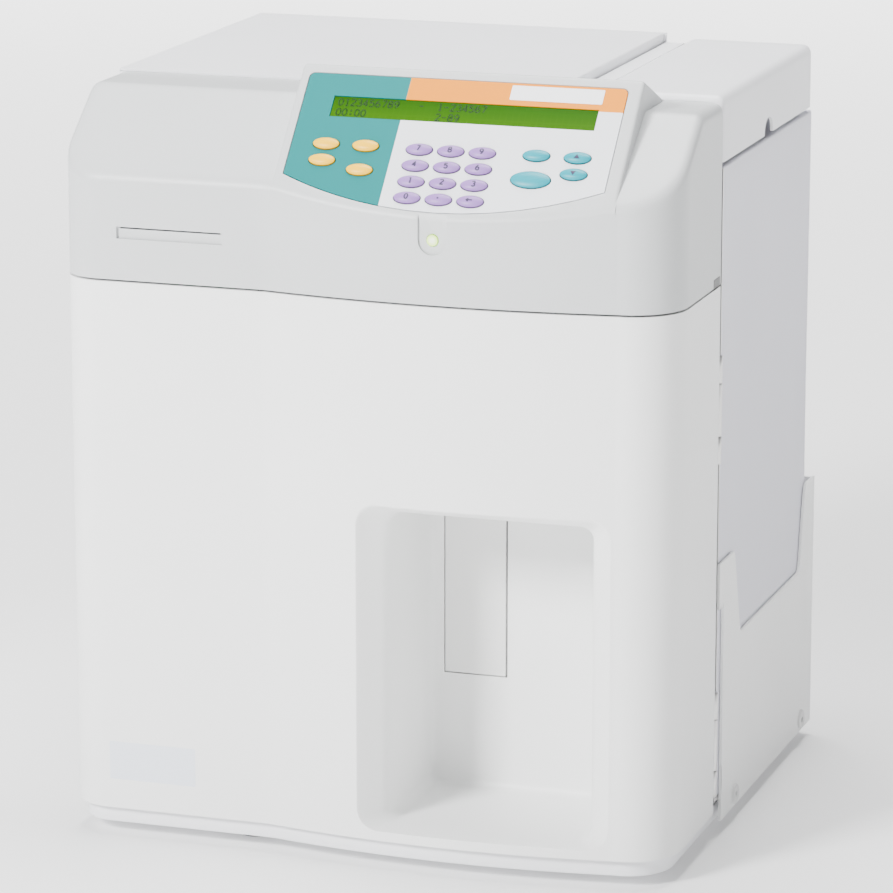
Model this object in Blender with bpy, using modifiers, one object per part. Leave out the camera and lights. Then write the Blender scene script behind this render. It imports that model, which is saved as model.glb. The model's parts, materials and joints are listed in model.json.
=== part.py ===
"""Bench-top blood cell analyzer: covers, keypad, sample recess, reagent bay and the works inside.

Lengths are in metres. X is measured from the left side, Y from the flat part of the front and Z from the table;
one empty then moves the whole instrument so that its box stands centred on the world origin.
"""
import math

import bmesh
import bpy
from mathutils import Matrix, Vector

# Overall sizes
BODY_WIDTH = 0.353
BODY_REAR = 0.320
COVER_REAR = 0.094
BULGE_DEPTH = 0.010
CREASE_SHARE = 0.34561
BULGE_LEFT = BODY_WIDTH * CREASE_SHARE
BULGE_SHARE = 0.64306
BULGE_MIDDLE = BODY_WIDTH * BULGE_SHARE
LEFT_CORNER_RADIUS = 0.024
RIGHT_CORNER_RADIUS = 0.031

# Heights from the table
FOOT_HEIGHT = 0.007
COVER_BOTTOM = 0.017
SEAM_HEIGHT = 0.320
CREASE_RISE = 0.0594
CREASE_HEIGHT = SEAM_HEIGHT + CREASE_RISE
STRIP_RISE = 0.0416
STRIP_HEIGHT = CREASE_HEIGHT + STRIP_RISE
HOOD_RISE = 0.0582
HOOD_HEIGHT = CREASE_HEIGHT + HOOD_RISE
STRIP_FRONT = 0.054
TOP_COVER_STEP = 0.0015
TOP_COVER_HEIGHT = STRIP_HEIGHT + TOP_COVER_STEP

# Walls, fits and cutting
GAP = 0.0003
SEAM_GAP = 0.0006
RUNNING_GAP = 0.0005
OVERRUN = 0.004
COVER_WALL = 0.003
SHEET = 0.0015
FILLET_STEPS = 4
BULGE_STEPS = 12
CORNER_STEPS = 6
ROUND_SIDES = 24
SMALL_ROUND_SIDES = 12
SMOOTH_ANGLE = 35

# Base and feet
BASE_INSET = 0.0045
BASE_FLOOR = 0.0025
BASE_RIM_TOP = 0.0167
FOOT_RADIUS = 0.011
FOOT_WAIST = 0.009
FRONT_FEET_DEPTH = 0.034
REAR_FEET_DEPTH_OFFSET = 0.030
REAR_FEET_DEPTH = BODY_REAR - REAR_FEET_DEPTH_OFFSET
FRONT_LEFT_FOOT = 0.102
FRONT_RIGHT_FOOT_OFFSET = 0.063
FRONT_RIGHT_FOOT = BODY_WIDTH - FRONT_RIGHT_FOOT_OFFSET
REAR_LEFT_FOOT = 0.050
REAR_RIGHT_FOOT_OFFSET = 0.053
REAR_RIGHT_FOOT = BODY_WIDTH - REAR_RIGHT_FOOT_OFFSET

# Panels and the reagent bay
PANEL_FLANGE = 0.013
TOP_FLANGE_DROP = 0.010
BAY_SHARE = 0.73088
BAY_WALL = BODY_WIDTH * BAY_SHARE
BAY_LEG_RIGHT_OFFSET = 0.005
BAY_LEG_RIGHT = BODY_WIDTH - BAY_LEG_RIGHT_OFFSET
REAR_PANEL_RIGHT_OFFSET = 0.0005
REAR_PANEL_RIGHT = BAY_WALL - REAR_PANEL_RIGHT_OFFSET
TOP_COVER_RIGHT_OFFSET = 0.002
TOP_COVER_RIGHT = BAY_WALL - TOP_COVER_RIGHT_OFFSET
VENT_WIDTH = 0.004
VENT_PITCH = 0.009
VENT_BOTTOM_OFFSET = 0.1225
VENT_BOTTOM = TOP_COVER_HEIGHT - VENT_BOTTOM_OFFSET
VENT_LENGTH = 0.060
VENT_LEFT_OFFSET = 0.1025
VENT_LEFT = REAR_PANEL_RIGHT - VENT_LEFT_OFFSET
VENT_COUNT = 8

# Keypad hood
HOOD_LEFT_OFFSET = 0.0045
HOOD_LEFT = BULGE_LEFT + HOOD_LEFT_OFFSET
HOOD_RIGHT_OFFSET = 0.0325
HOOD_RIGHT = BODY_WIDTH - HOOD_RIGHT_OFFSET
PANEL_LEFT_OFFSET = 0.0055
PANEL_LEFT = HOOD_LEFT + PANEL_LEFT_OFFSET
PANEL_RIGHT_OFFSET = 0.008
PANEL_RIGHT = HOOD_RIGHT - PANEL_RIGHT_OFFSET
PANEL_WIDTH = PANEL_RIGHT - PANEL_LEFT
PANEL_TOP = 0.0735
PANEL_SIDE_FOOT = 0.008
PANEL_SAG = 0.019
PANEL_SEAT = 0.0018
PANEL_THICKNESS = 0.0015
PANEL_LEDGE = 0.003
PANEL_CORNER = 0.003
PANEL_ARC_STEPS = 12

# Keys, places along the hood from its left and up its slope
KEY_SHARE = 0.0831
KEY_LENGTH = PANEL_WIDTH * KEY_SHARE
KEY_HEIGHT = 0.0072
ENTER_SHARE = 0.123
ENTER_LENGTH = PANEL_WIDTH * ENTER_SHARE
ENTER_HEIGHT = 0.0104
KEY_PROUD = 0.0018
KEY_SHOULDER = 0.0007
KEY_ROOT = 0.0020
KEY_SIDES = 20
NUMBER_SHARE = 0.40388
NUMBER_LEFT = PANEL_LEFT + PANEL_WIDTH * NUMBER_SHARE
STEP_SHARE = 0.09861
NUMBER_STEP = PANEL_WIDTH * STEP_SHARE
NUMBER_TOP = 0.0278
NUMBER_DROP = 0.01027
START_SHARES = (0.10914, 0.23435)
START_LEFT = PANEL_LEFT + PANEL_WIDTH * START_SHARES[0]
START_RIGHT = PANEL_LEFT + PANEL_WIDTH * START_SHARES[1]
COMMAND_SHARES = (0.76842, 0.89529)
COMMAND_LEFT = PANEL_LEFT + PANEL_WIDTH * COMMAND_SHARES[0]
COMMAND_RIGHT = PANEL_LEFT + PANEL_WIDTH * COMMAND_SHARES[1]
UPPER_ROW = 0.0282
LOWER_ROW = 0.0177
BOTTOM_ROW = 0.0128

# Display and keypad board
LCD_LEFT_OFFSET = 0.017
LCD_LEFT = PANEL_LEFT + LCD_LEFT_OFFSET
LCD_RIGHT_OFFSET = 0.0135
LCD_RIGHT = PANEL_RIGHT - LCD_RIGHT_OFFSET
LCD_BOTTOM = 0.0460
LCD_TOP = 0.0595
LCD_SINK = 0.0004
MODULE_MARGIN = 0.0045
MODULE_DEPTH = 0.008
BOARD_DROP = 0.0030
BOARD_THICKNESS = 0.0013
BOARD_MARGIN = 0.006
BOARD_TOP = 0.0385
BOARD_POST_RADIUS = 0.0015

# Status lamp
LAMP_X_OFFSET = 0.0054
LAMP_X = BULGE_MIDDLE - LAMP_X_OFFSET
LAMP_Z_OFFSET = 0.0364
LAMP_Z = SEAM_HEIGHT + LAMP_Z_OFFSET
LAMP_RADIUS = 0.0032
LAMP_FLANGE_RADIUS = 0.0055
LAMP_FLANGE = 0.0016
PAD_HALF_WIDTH = 0.008
PAD_TOP_OFFSET = 0.0136
PAD_TOP = LAMP_Z + PAD_TOP_OFFSET
PAD_DEPTH = 0.0014

# Card slot and reader
SLOT_SHARE = 0.10198
SLOT_LEFT = BODY_WIDTH * SLOT_SHARE
SLOT_RIGHT_OFFSET = 0.024
SLOT_RIGHT = BULGE_LEFT - SLOT_RIGHT_OFFSET
SLOT_BOTTOM_OFFSET = 0.0243
SLOT_BOTTOM = SEAM_HEIGHT + SLOT_BOTTOM_OFFSET
SLOT_TOP_OFFSET = 0.0066
SLOT_TOP = SLOT_BOTTOM + SLOT_TOP_OFFSET
SLOT_SINK = 0.0011
SLOT_MARGIN = 0.0015
SLOT_MOUTH = 0.0045
READER_MARGIN = 0.006
READER_BELOW = 0.008
READER_DEPTH = 0.070
READER_BACK = 0.008

# Sample recess
RECESS_SHARE = 0.50142
RECESS_LEFT = BODY_WIDTH * RECESS_SHARE
RECESS_RIGHT_OFFSET = 0.033
RECESS_RIGHT = BODY_WIDTH - RECESS_RIGHT_OFFSET
RECESS_BOTTOM = 0.0225
RECESS_TOP = 0.2075
RECESS_BEVEL = 0.0135
RECESS_TOP_BEVEL = 0.007
RECESS_LIP = 0.008
RECESS_FLOOR = 0.024
RECESS_REAR = 0.080
RECESS_CORNER = 0.007
RECESS_MOUTH_CORNER = 0.012
RECESS_STEPS = 4

# Press plate
PLATE_LEFT_OFFSET = 0.022
PLATE_LEFT = RECESS_LEFT + PLATE_LEFT_OFFSET
PLATE_RIGHT_OFFSET = 0.0359
PLATE_RIGHT = PLATE_LEFT + PLATE_RIGHT_OFFSET
PLATE_BOTTOM = 0.0905
PLATE_PIVOT_DROP = 0.006
PLATE_TOP_DROP = 0.004
PLATE_CLEAR = 0.0006
PLATE_THICKNESS = 0.0024
PLATE_BOSS_RADIUS = 0.0026
BOSS_SHARE = 0.75
PLATE_PIN_RADIUS = 0.0012
PLATE_BRACKET_DEPTH = 0.015
PLATE_BRACKET_SIDE = 0.003
PLATE_BRACKET_HEIGHT = 0.112

# Needle, carriage and rail
NEEDLE_X_OFFSET = 0.018
NEEDLE_X = PLATE_LEFT + NEEDLE_X_OFFSET
NEEDLE_Y = 0.058
NEEDLE_RADIUS = 0.0015
NEEDLE_TIP_OFFSET = 0.0065
NEEDLE_TIP = RECESS_TOP + NEEDLE_TIP_OFFSET
RAIL_BOTTOM_OFFSET = 0.034
RAIL_BOTTOM = SEAM_HEIGHT - RAIL_BOTTOM_OFFSET
NEEDLE_TOP_OFFSET = 0.100
NEEDLE_TOP = RAIL_BOTTOM + NEEDLE_TOP_OFFSET
NEEDLE_LENGTH = NEEDLE_TOP - NEEDLE_TIP
NEEDLE_HEAD = 0.010
NEEDLE_HEAD_HEIGHT = 0.012
ROOF_HOLE_RADIUS = 0.0045
RAIL_LEFT_OFFSET = 0.011
RAIL_LEFT = NEEDLE_X + RAIL_LEFT_OFFSET
RAIL_WIDTH = 0.010
RAIL_HEIGHT = 0.010
RAIL_FRONT = 0.030
RAIL_REAR = 0.200
RAIL_ARM_WIDTH = 0.016
RAIL_ARM_FRONT = 0.110
RAIL_ARM_REAR = 0.170
CARRIAGE_LENGTH = 0.026
CARRIAGE_WALL = 0.004
CARRIAGE_NECK = 0.007

# Works behind the front
CHAMBER_RADIUS = 0.012
CHAMBER_BORE = 0.009
CHAMBER_HEIGHT = 0.060
CHAMBER_BOTTOM = 0.140
CHAMBER_BASE = 0.012
CHAMBER_PITCH = 0.032
CHAMBER_Y = 0.140
CHAMBER_COUNT = 2
SYRINGE_RADIUS = 0.008
SYRINGE_PITCH = 0.022
SYRINGE_FRONT = 0.125
SYRINGE_BOTTOM = 0.040
SYRINGE_HEIGHT = 0.070
SYRINGE_BACK = 0.006
SYRINGE_COUNT = 3
VALVE_LEFT = 0.140
VALVE_FRONT_OFFSET = 0.140
VALVE_FRONT = BODY_REAR - VALVE_FRONT_OFFSET
VALVE_SIDE = 0.016
VALVE_PITCH = 0.020
VALVE_HEIGHT = 0.028
VALVE_PLATE = 0.006
VALVE_COUNT = 4
BOARD_FRONT = 0.120
BOARD_REAR_OFFSET = 0.030
BOARD_REAR = BODY_REAR - BOARD_REAR_OFFSET
BOARD_LOW = 0.160
BOARD_HIGH_OFFSET = 0.1325
BOARD_HIGH = TOP_COVER_HEIGHT - BOARD_HIGH_OFFSET
BOARD_STAND = 0.006
CHIP_SIDE = 0.024
CHIP_HEIGHT = 0.003
CHIP_COUNT = 3
SUPPLY_LEFT = 0.020
SUPPLY_WIDTH = 0.080
SUPPLY_HEIGHT = 0.055
SUPPLY_REAR_OFFSET = 0.050
SUPPLY_REAR = BODY_REAR - SUPPLY_REAR_OFFSET
SUPPLY_LENGTH = 0.080
SUPPLY_FRONT = SUPPLY_REAR - SUPPLY_LENGTH
FAN_X = 0.075
FAN_Z_OFFSET = 0.0725
FAN_Z = TOP_COVER_HEIGHT - FAN_Z_OFFSET
FAN_SIDE = 0.080
FAN_DEPTH = 0.025
FAN_BORE = 0.037
FAN_HUB = 0.015
FAN_BLADE_TIP = 0.0355
FAN_BLADES = 7
FAN_BLADE = 0.0015
FAN_STRUT = 0.003
FAN_SLOTS = 3
FAN_FRONT_ROOM = 0.004
FAN_REAR_ROOM = 0.003
FAN_PITCH = 30.0
FAN_BEARING = 0.004
INLET_X = 0.055
INLET_Z = 0.085
INLET_WIDTH = 0.034
INLET_HEIGHT = 0.028
INLET_DEPTH = 0.024
INLET_SOCKET_WIDTH = 0.026
INLET_SOCKET_HEIGHT = 0.019
INLET_SOCKET_DEPTH = 0.016
INLET_LIP = 0.003
SWITCH_X = 0.100
SWITCH_WIDTH = 0.014
SWITCH_HEIGHT = 0.024
SWITCH_DEPTH = 0.007
SWITCH_SINK = 0.0016
SWITCH_TILT = 6.0
PORTS_SHARE = 0.67961
PORTS_X = REAR_PANEL_RIGHT * PORTS_SHARE
PORTS_WIDTH_SHARE = 0.31068
PORTS_WIDTH = REAR_PANEL_RIGHT * PORTS_WIDTH_SHARE
PORTS_HEIGHT = 0.020
PORT_WIDTH = 0.016
PORT_TALL = 0.010
PORT_DEPTH = 0.008
PORT_COUNT = 3

# Reagent cap and its hinge strip
STRIP_TOP_OFFSET = 0.0055
STRIP_TOP = TOP_COVER_HEIGHT - STRIP_TOP_OFFSET
BAY_WALL_TOP_OFFSET = 0.0023
BAY_WALL_TOP = STRIP_TOP - BAY_WALL_TOP_OFFSET
STRIP_THICKNESS = 0.002
STRIP_LEFT = REAR_PANEL_RIGHT
STRIP_RIGHT_OFFSET = 0.011
STRIP_RIGHT = STRIP_LEFT + STRIP_RIGHT_OFFSET
CAP_AXIS_X_OFFSET = 0.0029
CAP_AXIS_X = STRIP_RIGHT + CAP_AXIS_X_OFFSET
CAP_AXIS_DROP = 0.0016
CAP_PIN_RADIUS = 0.0014
CAP_EDGE_OFFSET = 0.002
CAP_EDGE = CAP_AXIS_X + CAP_EDGE_OFFSET
CAP_RISE_LEFT_OFFSET = 0.0011
CAP_RISE_LEFT = CAP_EDGE + CAP_RISE_LEFT_OFFSET
CAP_RISE_RIGHT_OFFSET = 0.007
CAP_RISE_RIGHT = CAP_RISE_LEFT + CAP_RISE_RIGHT_OFFSET
CAP_TOP_OFFSET = 0.002
CAP_TOP = TOP_COVER_HEIGHT + CAP_TOP_OFFSET
CAP_BOTTOM_OFFSET = 0.0365
CAP_BOTTOM = CAP_TOP - CAP_BOTTOM_OFFSET
CAP_REAR_OFFSET = 0.028
CAP_REAR = BODY_REAR - CAP_REAR_OFFSET
CAP_WALL = 0.0022
CAP_ROUND = 0.006
NOTCH_Y_OFFSET = 0.098
NOTCH_Y = CAP_REAR - NOTCH_Y_OFFSET
NOTCH_RADIUS = 0.0095

# Side carrier, pocket, pack and hinges
HINGE_X_OFFSET = 0.002
HINGE_X = BODY_WIDTH - HINGE_X_OFFSET
HINGE_BACK = 0.0044
KNUCKLE_RADIUS = 0.0026
HINGE_BORE = 0.0014
HINGE_PIN = 0.0010
LEAF = 0.001
LEAF_WIDTH = 0.026
UPPER_HINGE_OFFSET = 0.101
UPPER_HINGE = SEAM_HEIGHT - UPPER_HINGE_OFFSET
LOWER_HINGE = 0.026
HINGE_LENGTH = 0.061
HINGE_END = 0.0153
CARRIER_LEFT_OFFSET = 0.004
CARRIER_LEFT = BAY_WALL + CARRIER_LEFT_OFFSET
CARRIER_SHELF = 0.022
CARRIER_REAR_OFFSET = 0.008
CARRIER_REAR = BODY_REAR - CARRIER_REAR_OFFSET
POCKET_REAR_OFFSET = 0.006
POCKET_REAR = BODY_REAR - POCKET_REAR_OFFSET
POCKET_FRONT = 0.0990
POCKET_STEP = 0.009
POCKET_STEP_HEIGHT_OFFSET = 0.025
POCKET_STEP_HEIGHT = SEAM_HEIGHT / 2 - POCKET_STEP_HEIGHT_OFFSET
POCKET_BOTTOM = 0.009
POCKET_TOP_OFFSET = 0.001
POCKET_TOP = SEAM_HEIGHT / 2 + POCKET_TOP_OFFSET
POCKET_EAR_FRONT = 0.131
POCKET_LOW_FRONT = 0.145
POCKET_EAR_WIDTH = 0.022
POCKET_EAR_REAR = POCKET_REAR - POCKET_EAR_WIDTH
POCKET_EAR_SLOPE = 0.011
POCKET_LOW_REAR = POCKET_EAR_REAR - POCKET_EAR_SLOPE
POCKET_DIP_OFFSET = 0.050
POCKET_DIP = SEAM_HEIGHT / 2 - POCKET_DIP_OFFSET
POCKET_RETURN = 0.013
POCKET_RETURN_BOTTOM = 0.020
POCKET_CORNER = 0.007
PACK_REAR_OFFSET = 0.022
PACK_REAR = BODY_REAR - PACK_REAR_OFFSET
PACK_TOP_OFFSET = 0.003
PACK_TOP = CAP_BOTTOM - PACK_TOP_OFFSET
CARRIER_TOP_OFFSET = 0.001
CARRIER_TOP = PACK_TOP - CARRIER_TOP_OFFSET
BAY_LEG_TOP_OFFSET = 0.005
BAY_LEG_TOP = PACK_TOP - BAY_LEG_TOP_OFFSET
PACK_EDGE = 0.0015

# Colours with roughness and metal share
LIGHT_GREY = (0.76, 0.77, 0.77, 1.0)
WHITE = (0.86, 0.86, 0.86, 1.0)
LAVENDER_WHITE = (0.80, 0.81, 0.86, 1.0)
TEAL = (0.03, 0.57, 0.57, 1.0)
YELLOW = (1.0, 0.68, 0.17, 1.0)
PURPLE = (0.55, 0.45, 0.73, 1.0)
CYAN = (0.17, 0.68, 0.68, 1.0)
GREEN = (0.19, 0.38, 0.01, 1.0)
LAMP_GREEN = (0.7, 0.9, 0.25, 1.0)
DARK = (0.03, 0.03, 0.035, 1.0)
BOARD_GREEN = (0.02, 0.18, 0.07, 1.0)
STEEL = (0.6, 0.6, 0.6, 1.0)
CLEAR_GREY = (0.6, 0.66, 0.7, 1.0)
PARTS = "hematology_analyzer"
CUTTERS = "cutters"
HOOD_RUN = STRIP_FRONT
HOOD_ANGLE = math.atan2(HOOD_HEIGHT - CREASE_HEIGHT, HOOD_RUN)


def clear_scene():
    """Remove every object and every collection that the file starts with."""
    for old in list(bpy.data.objects):
        bpy.data.objects.remove(old, do_unlink=True)
    for old in list(bpy.data.collections):
        bpy.data.collections.remove(old)


def new_collection(name):
    """A collection linked to the scene."""
    group = bpy.data.collections.new(name)
    bpy.context.scene.collection.children.link(group)
    return group


def material(name, colour, roughness, metallic=0.0):
    """A Principled material, made once for each name."""
    found = bpy.data.materials.get(name)
    if found:
        return found
    made = bpy.data.materials.new(name)
    made.use_nodes = True
    shader = made.node_tree.nodes["Principled BSDF"]
    shader.inputs["Base Color"].default_value = colour
    shader.inputs["Roughness"].default_value = roughness
    shader.inputs["Metallic"].default_value = metallic
    return made


def new_object(name, mesh):
    """An object in the parts collection."""
    made = bpy.data.objects.new(name, mesh)
    bpy.data.collections[PARTS].objects.link(made)
    return made


def box(name, low, high):
    """A box between two corners, started from a cube."""
    mesh = bpy.data.meshes.new(name)
    shape = bmesh.new()
    size = [top - bottom for bottom, top in zip(low, high)]
    middle = [(top + bottom) / 2 for bottom, top in zip(low, high)]
    bmesh.ops.create_cube(shape, size=1.0)
    bmesh.ops.scale(shape, vec=size, verts=shape.verts)
    bmesh.ops.translate(shape, vec=middle, verts=shape.verts)
    shape.to_mesh(mesh)
    shape.free()
    return new_object(name, mesh)


def rod(name, radius, start, end, sides=ROUND_SIDES, end_radius=None):
    """A round bar or a cone from one point to another."""
    mesh = bpy.data.meshes.new(name)
    shape = bmesh.new()
    start = Vector(start)
    axis = Vector(end) - start
    turn = axis.to_track_quat("Z", "Y").to_matrix().to_4x4()
    place = Matrix.Translation(start + axis / 2) @ turn
    last = radius if end_radius is None else end_radius
    bmesh.ops.create_cone(shape, cap_ends=True, segments=sides, radius1=radius, radius2=last,
                          depth=axis.length, matrix=place)
    shape.to_mesh(mesh)
    shape.free()
    return new_object(name, mesh)


def outline_solid(name, outlines, low, high, axes="XY"):
    """A flat outline, with any holes, filled and extruded from low to high.

    axes names the two world axes that the outline is drawn in: XY, YZ or XZ.
    """
    curve = bpy.data.curves.new(name, "CURVE")
    curve.dimensions = "2D"
    curve.fill_mode = "BOTH"
    curve.extrude = (high - low) / 2
    for outline in outlines:
        spline = curve.splines.new("POLY")
        spline.points.add(len(outline) - 1)
        for point, (across, along) in zip(spline.points, outline):
            point.co = (across, along, 0, 1)
        spline.use_cyclic_u = True
    flat = bpy.data.objects.new(name, curve)
    bpy.context.scene.collection.objects.link(flat)
    bpy.context.view_layer.update()
    graph = bpy.context.evaluated_depsgraph_get()
    mesh = bpy.data.meshes.new_from_object(flat.evaluated_get(graph))
    bpy.data.objects.remove(flat, do_unlink=True)
    bpy.data.curves.remove(curve)
    turns = {
        "XY": Matrix.Identity(4),
        "YZ": Matrix(((0, 0, 1, 0), (1, 0, 0, 0), (0, 1, 0, 0), (0, 0, 0, 1))),
        "XZ": Matrix(((1, 0, 0, 0), (0, 0, -1, 0), (0, 1, 0, 0), (0, 0, 0, 1))),
    }
    shift = (low + high) / 2
    if axes == "XZ":
        shift = -shift
    mesh.materials.clear()
    mesh.transform(turns[axes] @ Matrix.Translation((0, 0, shift)))
    weld(mesh)
    return new_object(name, mesh)


def weld(mesh):
    """Merge the doubled points of a curve's caps and point the faces outwards."""
    shape = bmesh.new()
    shape.from_mesh(mesh)
    bmesh.ops.remove_doubles(shape, verts=shape.verts, dist=GAP / ROUND_SIDES)
    bmesh.ops.recalc_face_normals(shape, faces=shape.faces)
    shape.to_mesh(mesh)
    shape.free()


def loft(name, rings):
    """A closed solid through rings of equally many points, capped at both ends."""
    mesh = bpy.data.meshes.new(name)
    shape = bmesh.new()
    rows = [[shape.verts.new(point) for point in ring] for ring in rings]
    count = len(rows[0])
    for first, second in zip(rows, rows[1:]):
        for i in range(count):
            j = (i + 1) % count
            shape.faces.new((first[i], first[j], second[j], second[i]))
    shape.faces.new(rows[0])
    shape.faces.new(rows[-1])
    bmesh.ops.recalc_face_normals(shape, faces=shape.faces)
    shape.to_mesh(mesh)
    shape.free()
    return new_object(name, mesh)


def boolean(target, tool, operation):
    """Cut, join or meet a piece with a tool, which moves to the cutters collection."""
    modifier = target.modifiers.new(operation.lower(), "BOOLEAN")
    modifier.operation = operation
    modifier.solver = "EXACT"
    modifier.object = tool
    if tool.name in bpy.data.collections[PARTS].objects:
        bpy.data.collections[PARTS].objects.unlink(tool)
        bpy.data.collections[CUTTERS].objects.link(tool)
    tool.hide_render = True
    tool.display_type = "WIRE"
    return target


def cut(target, tool):
    return boolean(target, tool, "DIFFERENCE")


def join(target, tool):
    return boolean(target, tool, "UNION")


def bevel(target, width, segments=2):
    """Round the sharp edges of a piece."""
    modifier = target.modifiers.new("bevel", "BEVEL")
    modifier.width = width
    modifier.segments = segments
    modifier.limit_method = "ANGLE"
    return target


def arc(centre, radius, start, end, steps):
    """Points along an arc, angles in degrees, both ends included."""
    points = []
    for i in range(steps + 1):
        angle = math.radians(start + (end - start) * i / steps)
        points.append((centre[0] + radius * math.cos(angle), centre[1] + radius * math.sin(angle)))
    return points


def offset_path(points, distance, closed):
    """A path moved to its left by a distance, with mitred corners."""
    moved = []
    count = len(points)
    for i, point in enumerate(points):
        before = points[i - 1] if closed or i > 0 else None
        after = points[(i + 1) % count] if closed or i < count - 1 else None
        sides = []
        if before is not None:
            sides.append((point[0] - before[0], point[1] - before[1]))
        if after is not None:
            sides.append((after[0] - point[0], after[1] - point[1]))
        normals = [(-side[1] / math.hypot(*side), side[0] / math.hypot(*side)) for side in sides]
        normal_x = sum(normal[0] for normal in normals) / len(normals)
        normal_y = sum(normal[1] for normal in normals) / len(normals)
        stretch = distance / (normal_x ** 2 + normal_y ** 2)
        moved.append((point[0] + normal_x * stretch, point[1] + normal_y * stretch))
    return moved


def rounded(points, radii, steps=FILLET_STEPS):
    """A closed outline with some corners rounded; a radius of zero leaves a corner sharp."""
    result = []
    count = len(points)
    for i, (point, radius) in enumerate(zip(points, radii)):
        if not radius:
            result.append(point)
            continue
        corner = Vector(point)
        back = (Vector(points[i - 1]) - corner).normalized()
        ahead = (Vector(points[(i + 1) % count]) - corner).normalized()
        half = back.angle(ahead) / 2
        start = corner + back * radius / math.tan(half)
        end = corner + ahead * radius / math.tan(half)
        centre = corner + (back + ahead).normalized() * radius / math.sin(half)
        first = start - centre
        last = end - centre
        sweep = first.angle_signed(last)
        for step in range(steps + 1):
            turned = first.copy()
            turned.rotate(Matrix.Rotation(-sweep * step / steps, 2))
            result.append(tuple(centre + turned))
    return result


def rectangle(left, right, bottom, top):
    """Corner points of an upright rectangle, anticlockwise."""
    return [(left, bottom), (right, bottom), (right, top), (left, top)]


def ellipse(centre_x, centre_y, length, height, sides=KEY_SIDES):
    """Points round an ellipse of a given length and height."""
    turn = 2 * math.pi / sides
    return [(centre_x + length / 2 * math.cos(turn * i), centre_y + height / 2 * math.sin(turn * i))
            for i in range(sides)]


def bulge_arc():
    """The shallow arc that carries the front forward, from its left crease to the right corner."""
    reach = BULGE_MIDDLE - BULGE_LEFT
    radius = (reach ** 2 + BULGE_DEPTH ** 2) / (2 * BULGE_DEPTH)
    centre = (BULGE_MIDDLE, radius - BULGE_DEPTH)
    right = BODY_WIDTH - RIGHT_CORNER_RADIUS
    start = -90 - math.degrees(math.asin(reach / radius))
    end = -90 + math.degrees(math.asin((right - BULGE_MIDDLE) / radius))
    return arc(centre, radius, start, end, BULGE_STEPS)


def plan(inset, rear):
    """The outline of the body seen from above, moved in by an inset and closed straight across at the rear."""
    front = bulge_arc()
    left_corner = arc((LEFT_CORNER_RADIUS, LEFT_CORNER_RADIUS), LEFT_CORNER_RADIUS, 180, 270, CORNER_STEPS)
    right_centre = (BODY_WIDTH - RIGHT_CORNER_RADIUS, front[-1][1] + RIGHT_CORNER_RADIUS)
    right_corner = arc(right_centre, RIGHT_CORNER_RADIUS, -90, 0, CORNER_STEPS)
    path = [(0, rear)] + left_corner + front + right_corner[1:] + [(BODY_WIDTH, rear)]
    return offset_path(path, inset, False)


def hood_place():
    """The hood's own frame: X across, Y up its slope from the crease, Z out of its face."""
    slope = Matrix.Rotation(HOOD_ANGLE, 4, "X")
    return Matrix.Translation((0, 0, CREASE_HEIGHT)) @ slope


def on_hood(piece):
    """Carry a piece drawn in the hood's frame to its place."""
    piece.data.transform(hood_place())
    return piece


def above(path, name, left, right):
    """A cutter that takes away all that lies above a path seen from the side."""
    top = HOOD_HEIGHT + OVERRUN + OVERRUN
    outline = path + [(path[-1][0], top), (path[0][0], top)]
    return outline_solid(name, [outline], left, right, "YZ")


def console_block(name, inset, bottom, rear):
    """The console as a solid: body outline below, slope and strip above, with the hood standing out of them."""
    block = outline_solid(name, [plan(inset, rear)], bottom, HOOD_HEIGHT + OVERRUN)
    reach = BULGE_DEPTH + OVERRUN
    slope_rise = (STRIP_HEIGHT - CREASE_HEIGHT) / STRIP_FRONT
    hood_rise = (HOOD_HEIGHT - CREASE_HEIGHT) / HOOD_RUN
    back_fall = (HOOD_HEIGHT - STRIP_HEIGHT) / (COVER_REAR - STRIP_FRONT)
    far = rear + reach
    slope = [(-reach, CREASE_HEIGHT - reach * slope_rise), (STRIP_FRONT, STRIP_HEIGHT), (far, STRIP_HEIGHT)]
    hood = [(-reach, CREASE_HEIGHT - reach * hood_rise), (HOOD_RUN, HOOD_HEIGHT),
            (far, HOOD_HEIGHT - (far - HOOD_RUN) * back_fall)]
    slope = offset_path(slope, -inset, False)
    hood = offset_path(hood, -inset, False)
    cut(block, above(slope, name + "_left_slope", -OVERRUN, HOOD_LEFT + inset))
    cut(block, above(slope, name + "_right_slope", HOOD_RIGHT - inset, BODY_WIDTH + OVERRUN))
    cut(block, above(hood, name + "_hood_top", HOOD_LEFT - OVERRUN, HOOD_RIGHT + OVERRUN))
    return block


def panel_outline(inset=0):
    """The keypad panel: straight top and sides, and a bottom edge that sags like the hood's."""
    half = (PANEL_RIGHT - PANEL_LEFT) / 2
    radius = (half ** 2 + PANEL_SAG ** 2) / (2 * PANEL_SAG)
    spread = math.degrees(math.asin(half / radius))
    middle = (PANEL_LEFT + PANEL_RIGHT) / 2
    centre = (middle, PANEL_SIDE_FOOT - PANEL_SAG + radius)
    bottom = arc(centre, radius, -90 - spread, -90 + spread, PANEL_ARC_STEPS)
    outline = bottom + [(PANEL_RIGHT, PANEL_TOP), (PANEL_LEFT, PANEL_TOP)]
    radii = [0] * (len(bottom)) + [PANEL_CORNER, PANEL_CORNER]
    return rounded(offset_path(outline, inset, True), radii)


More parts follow.
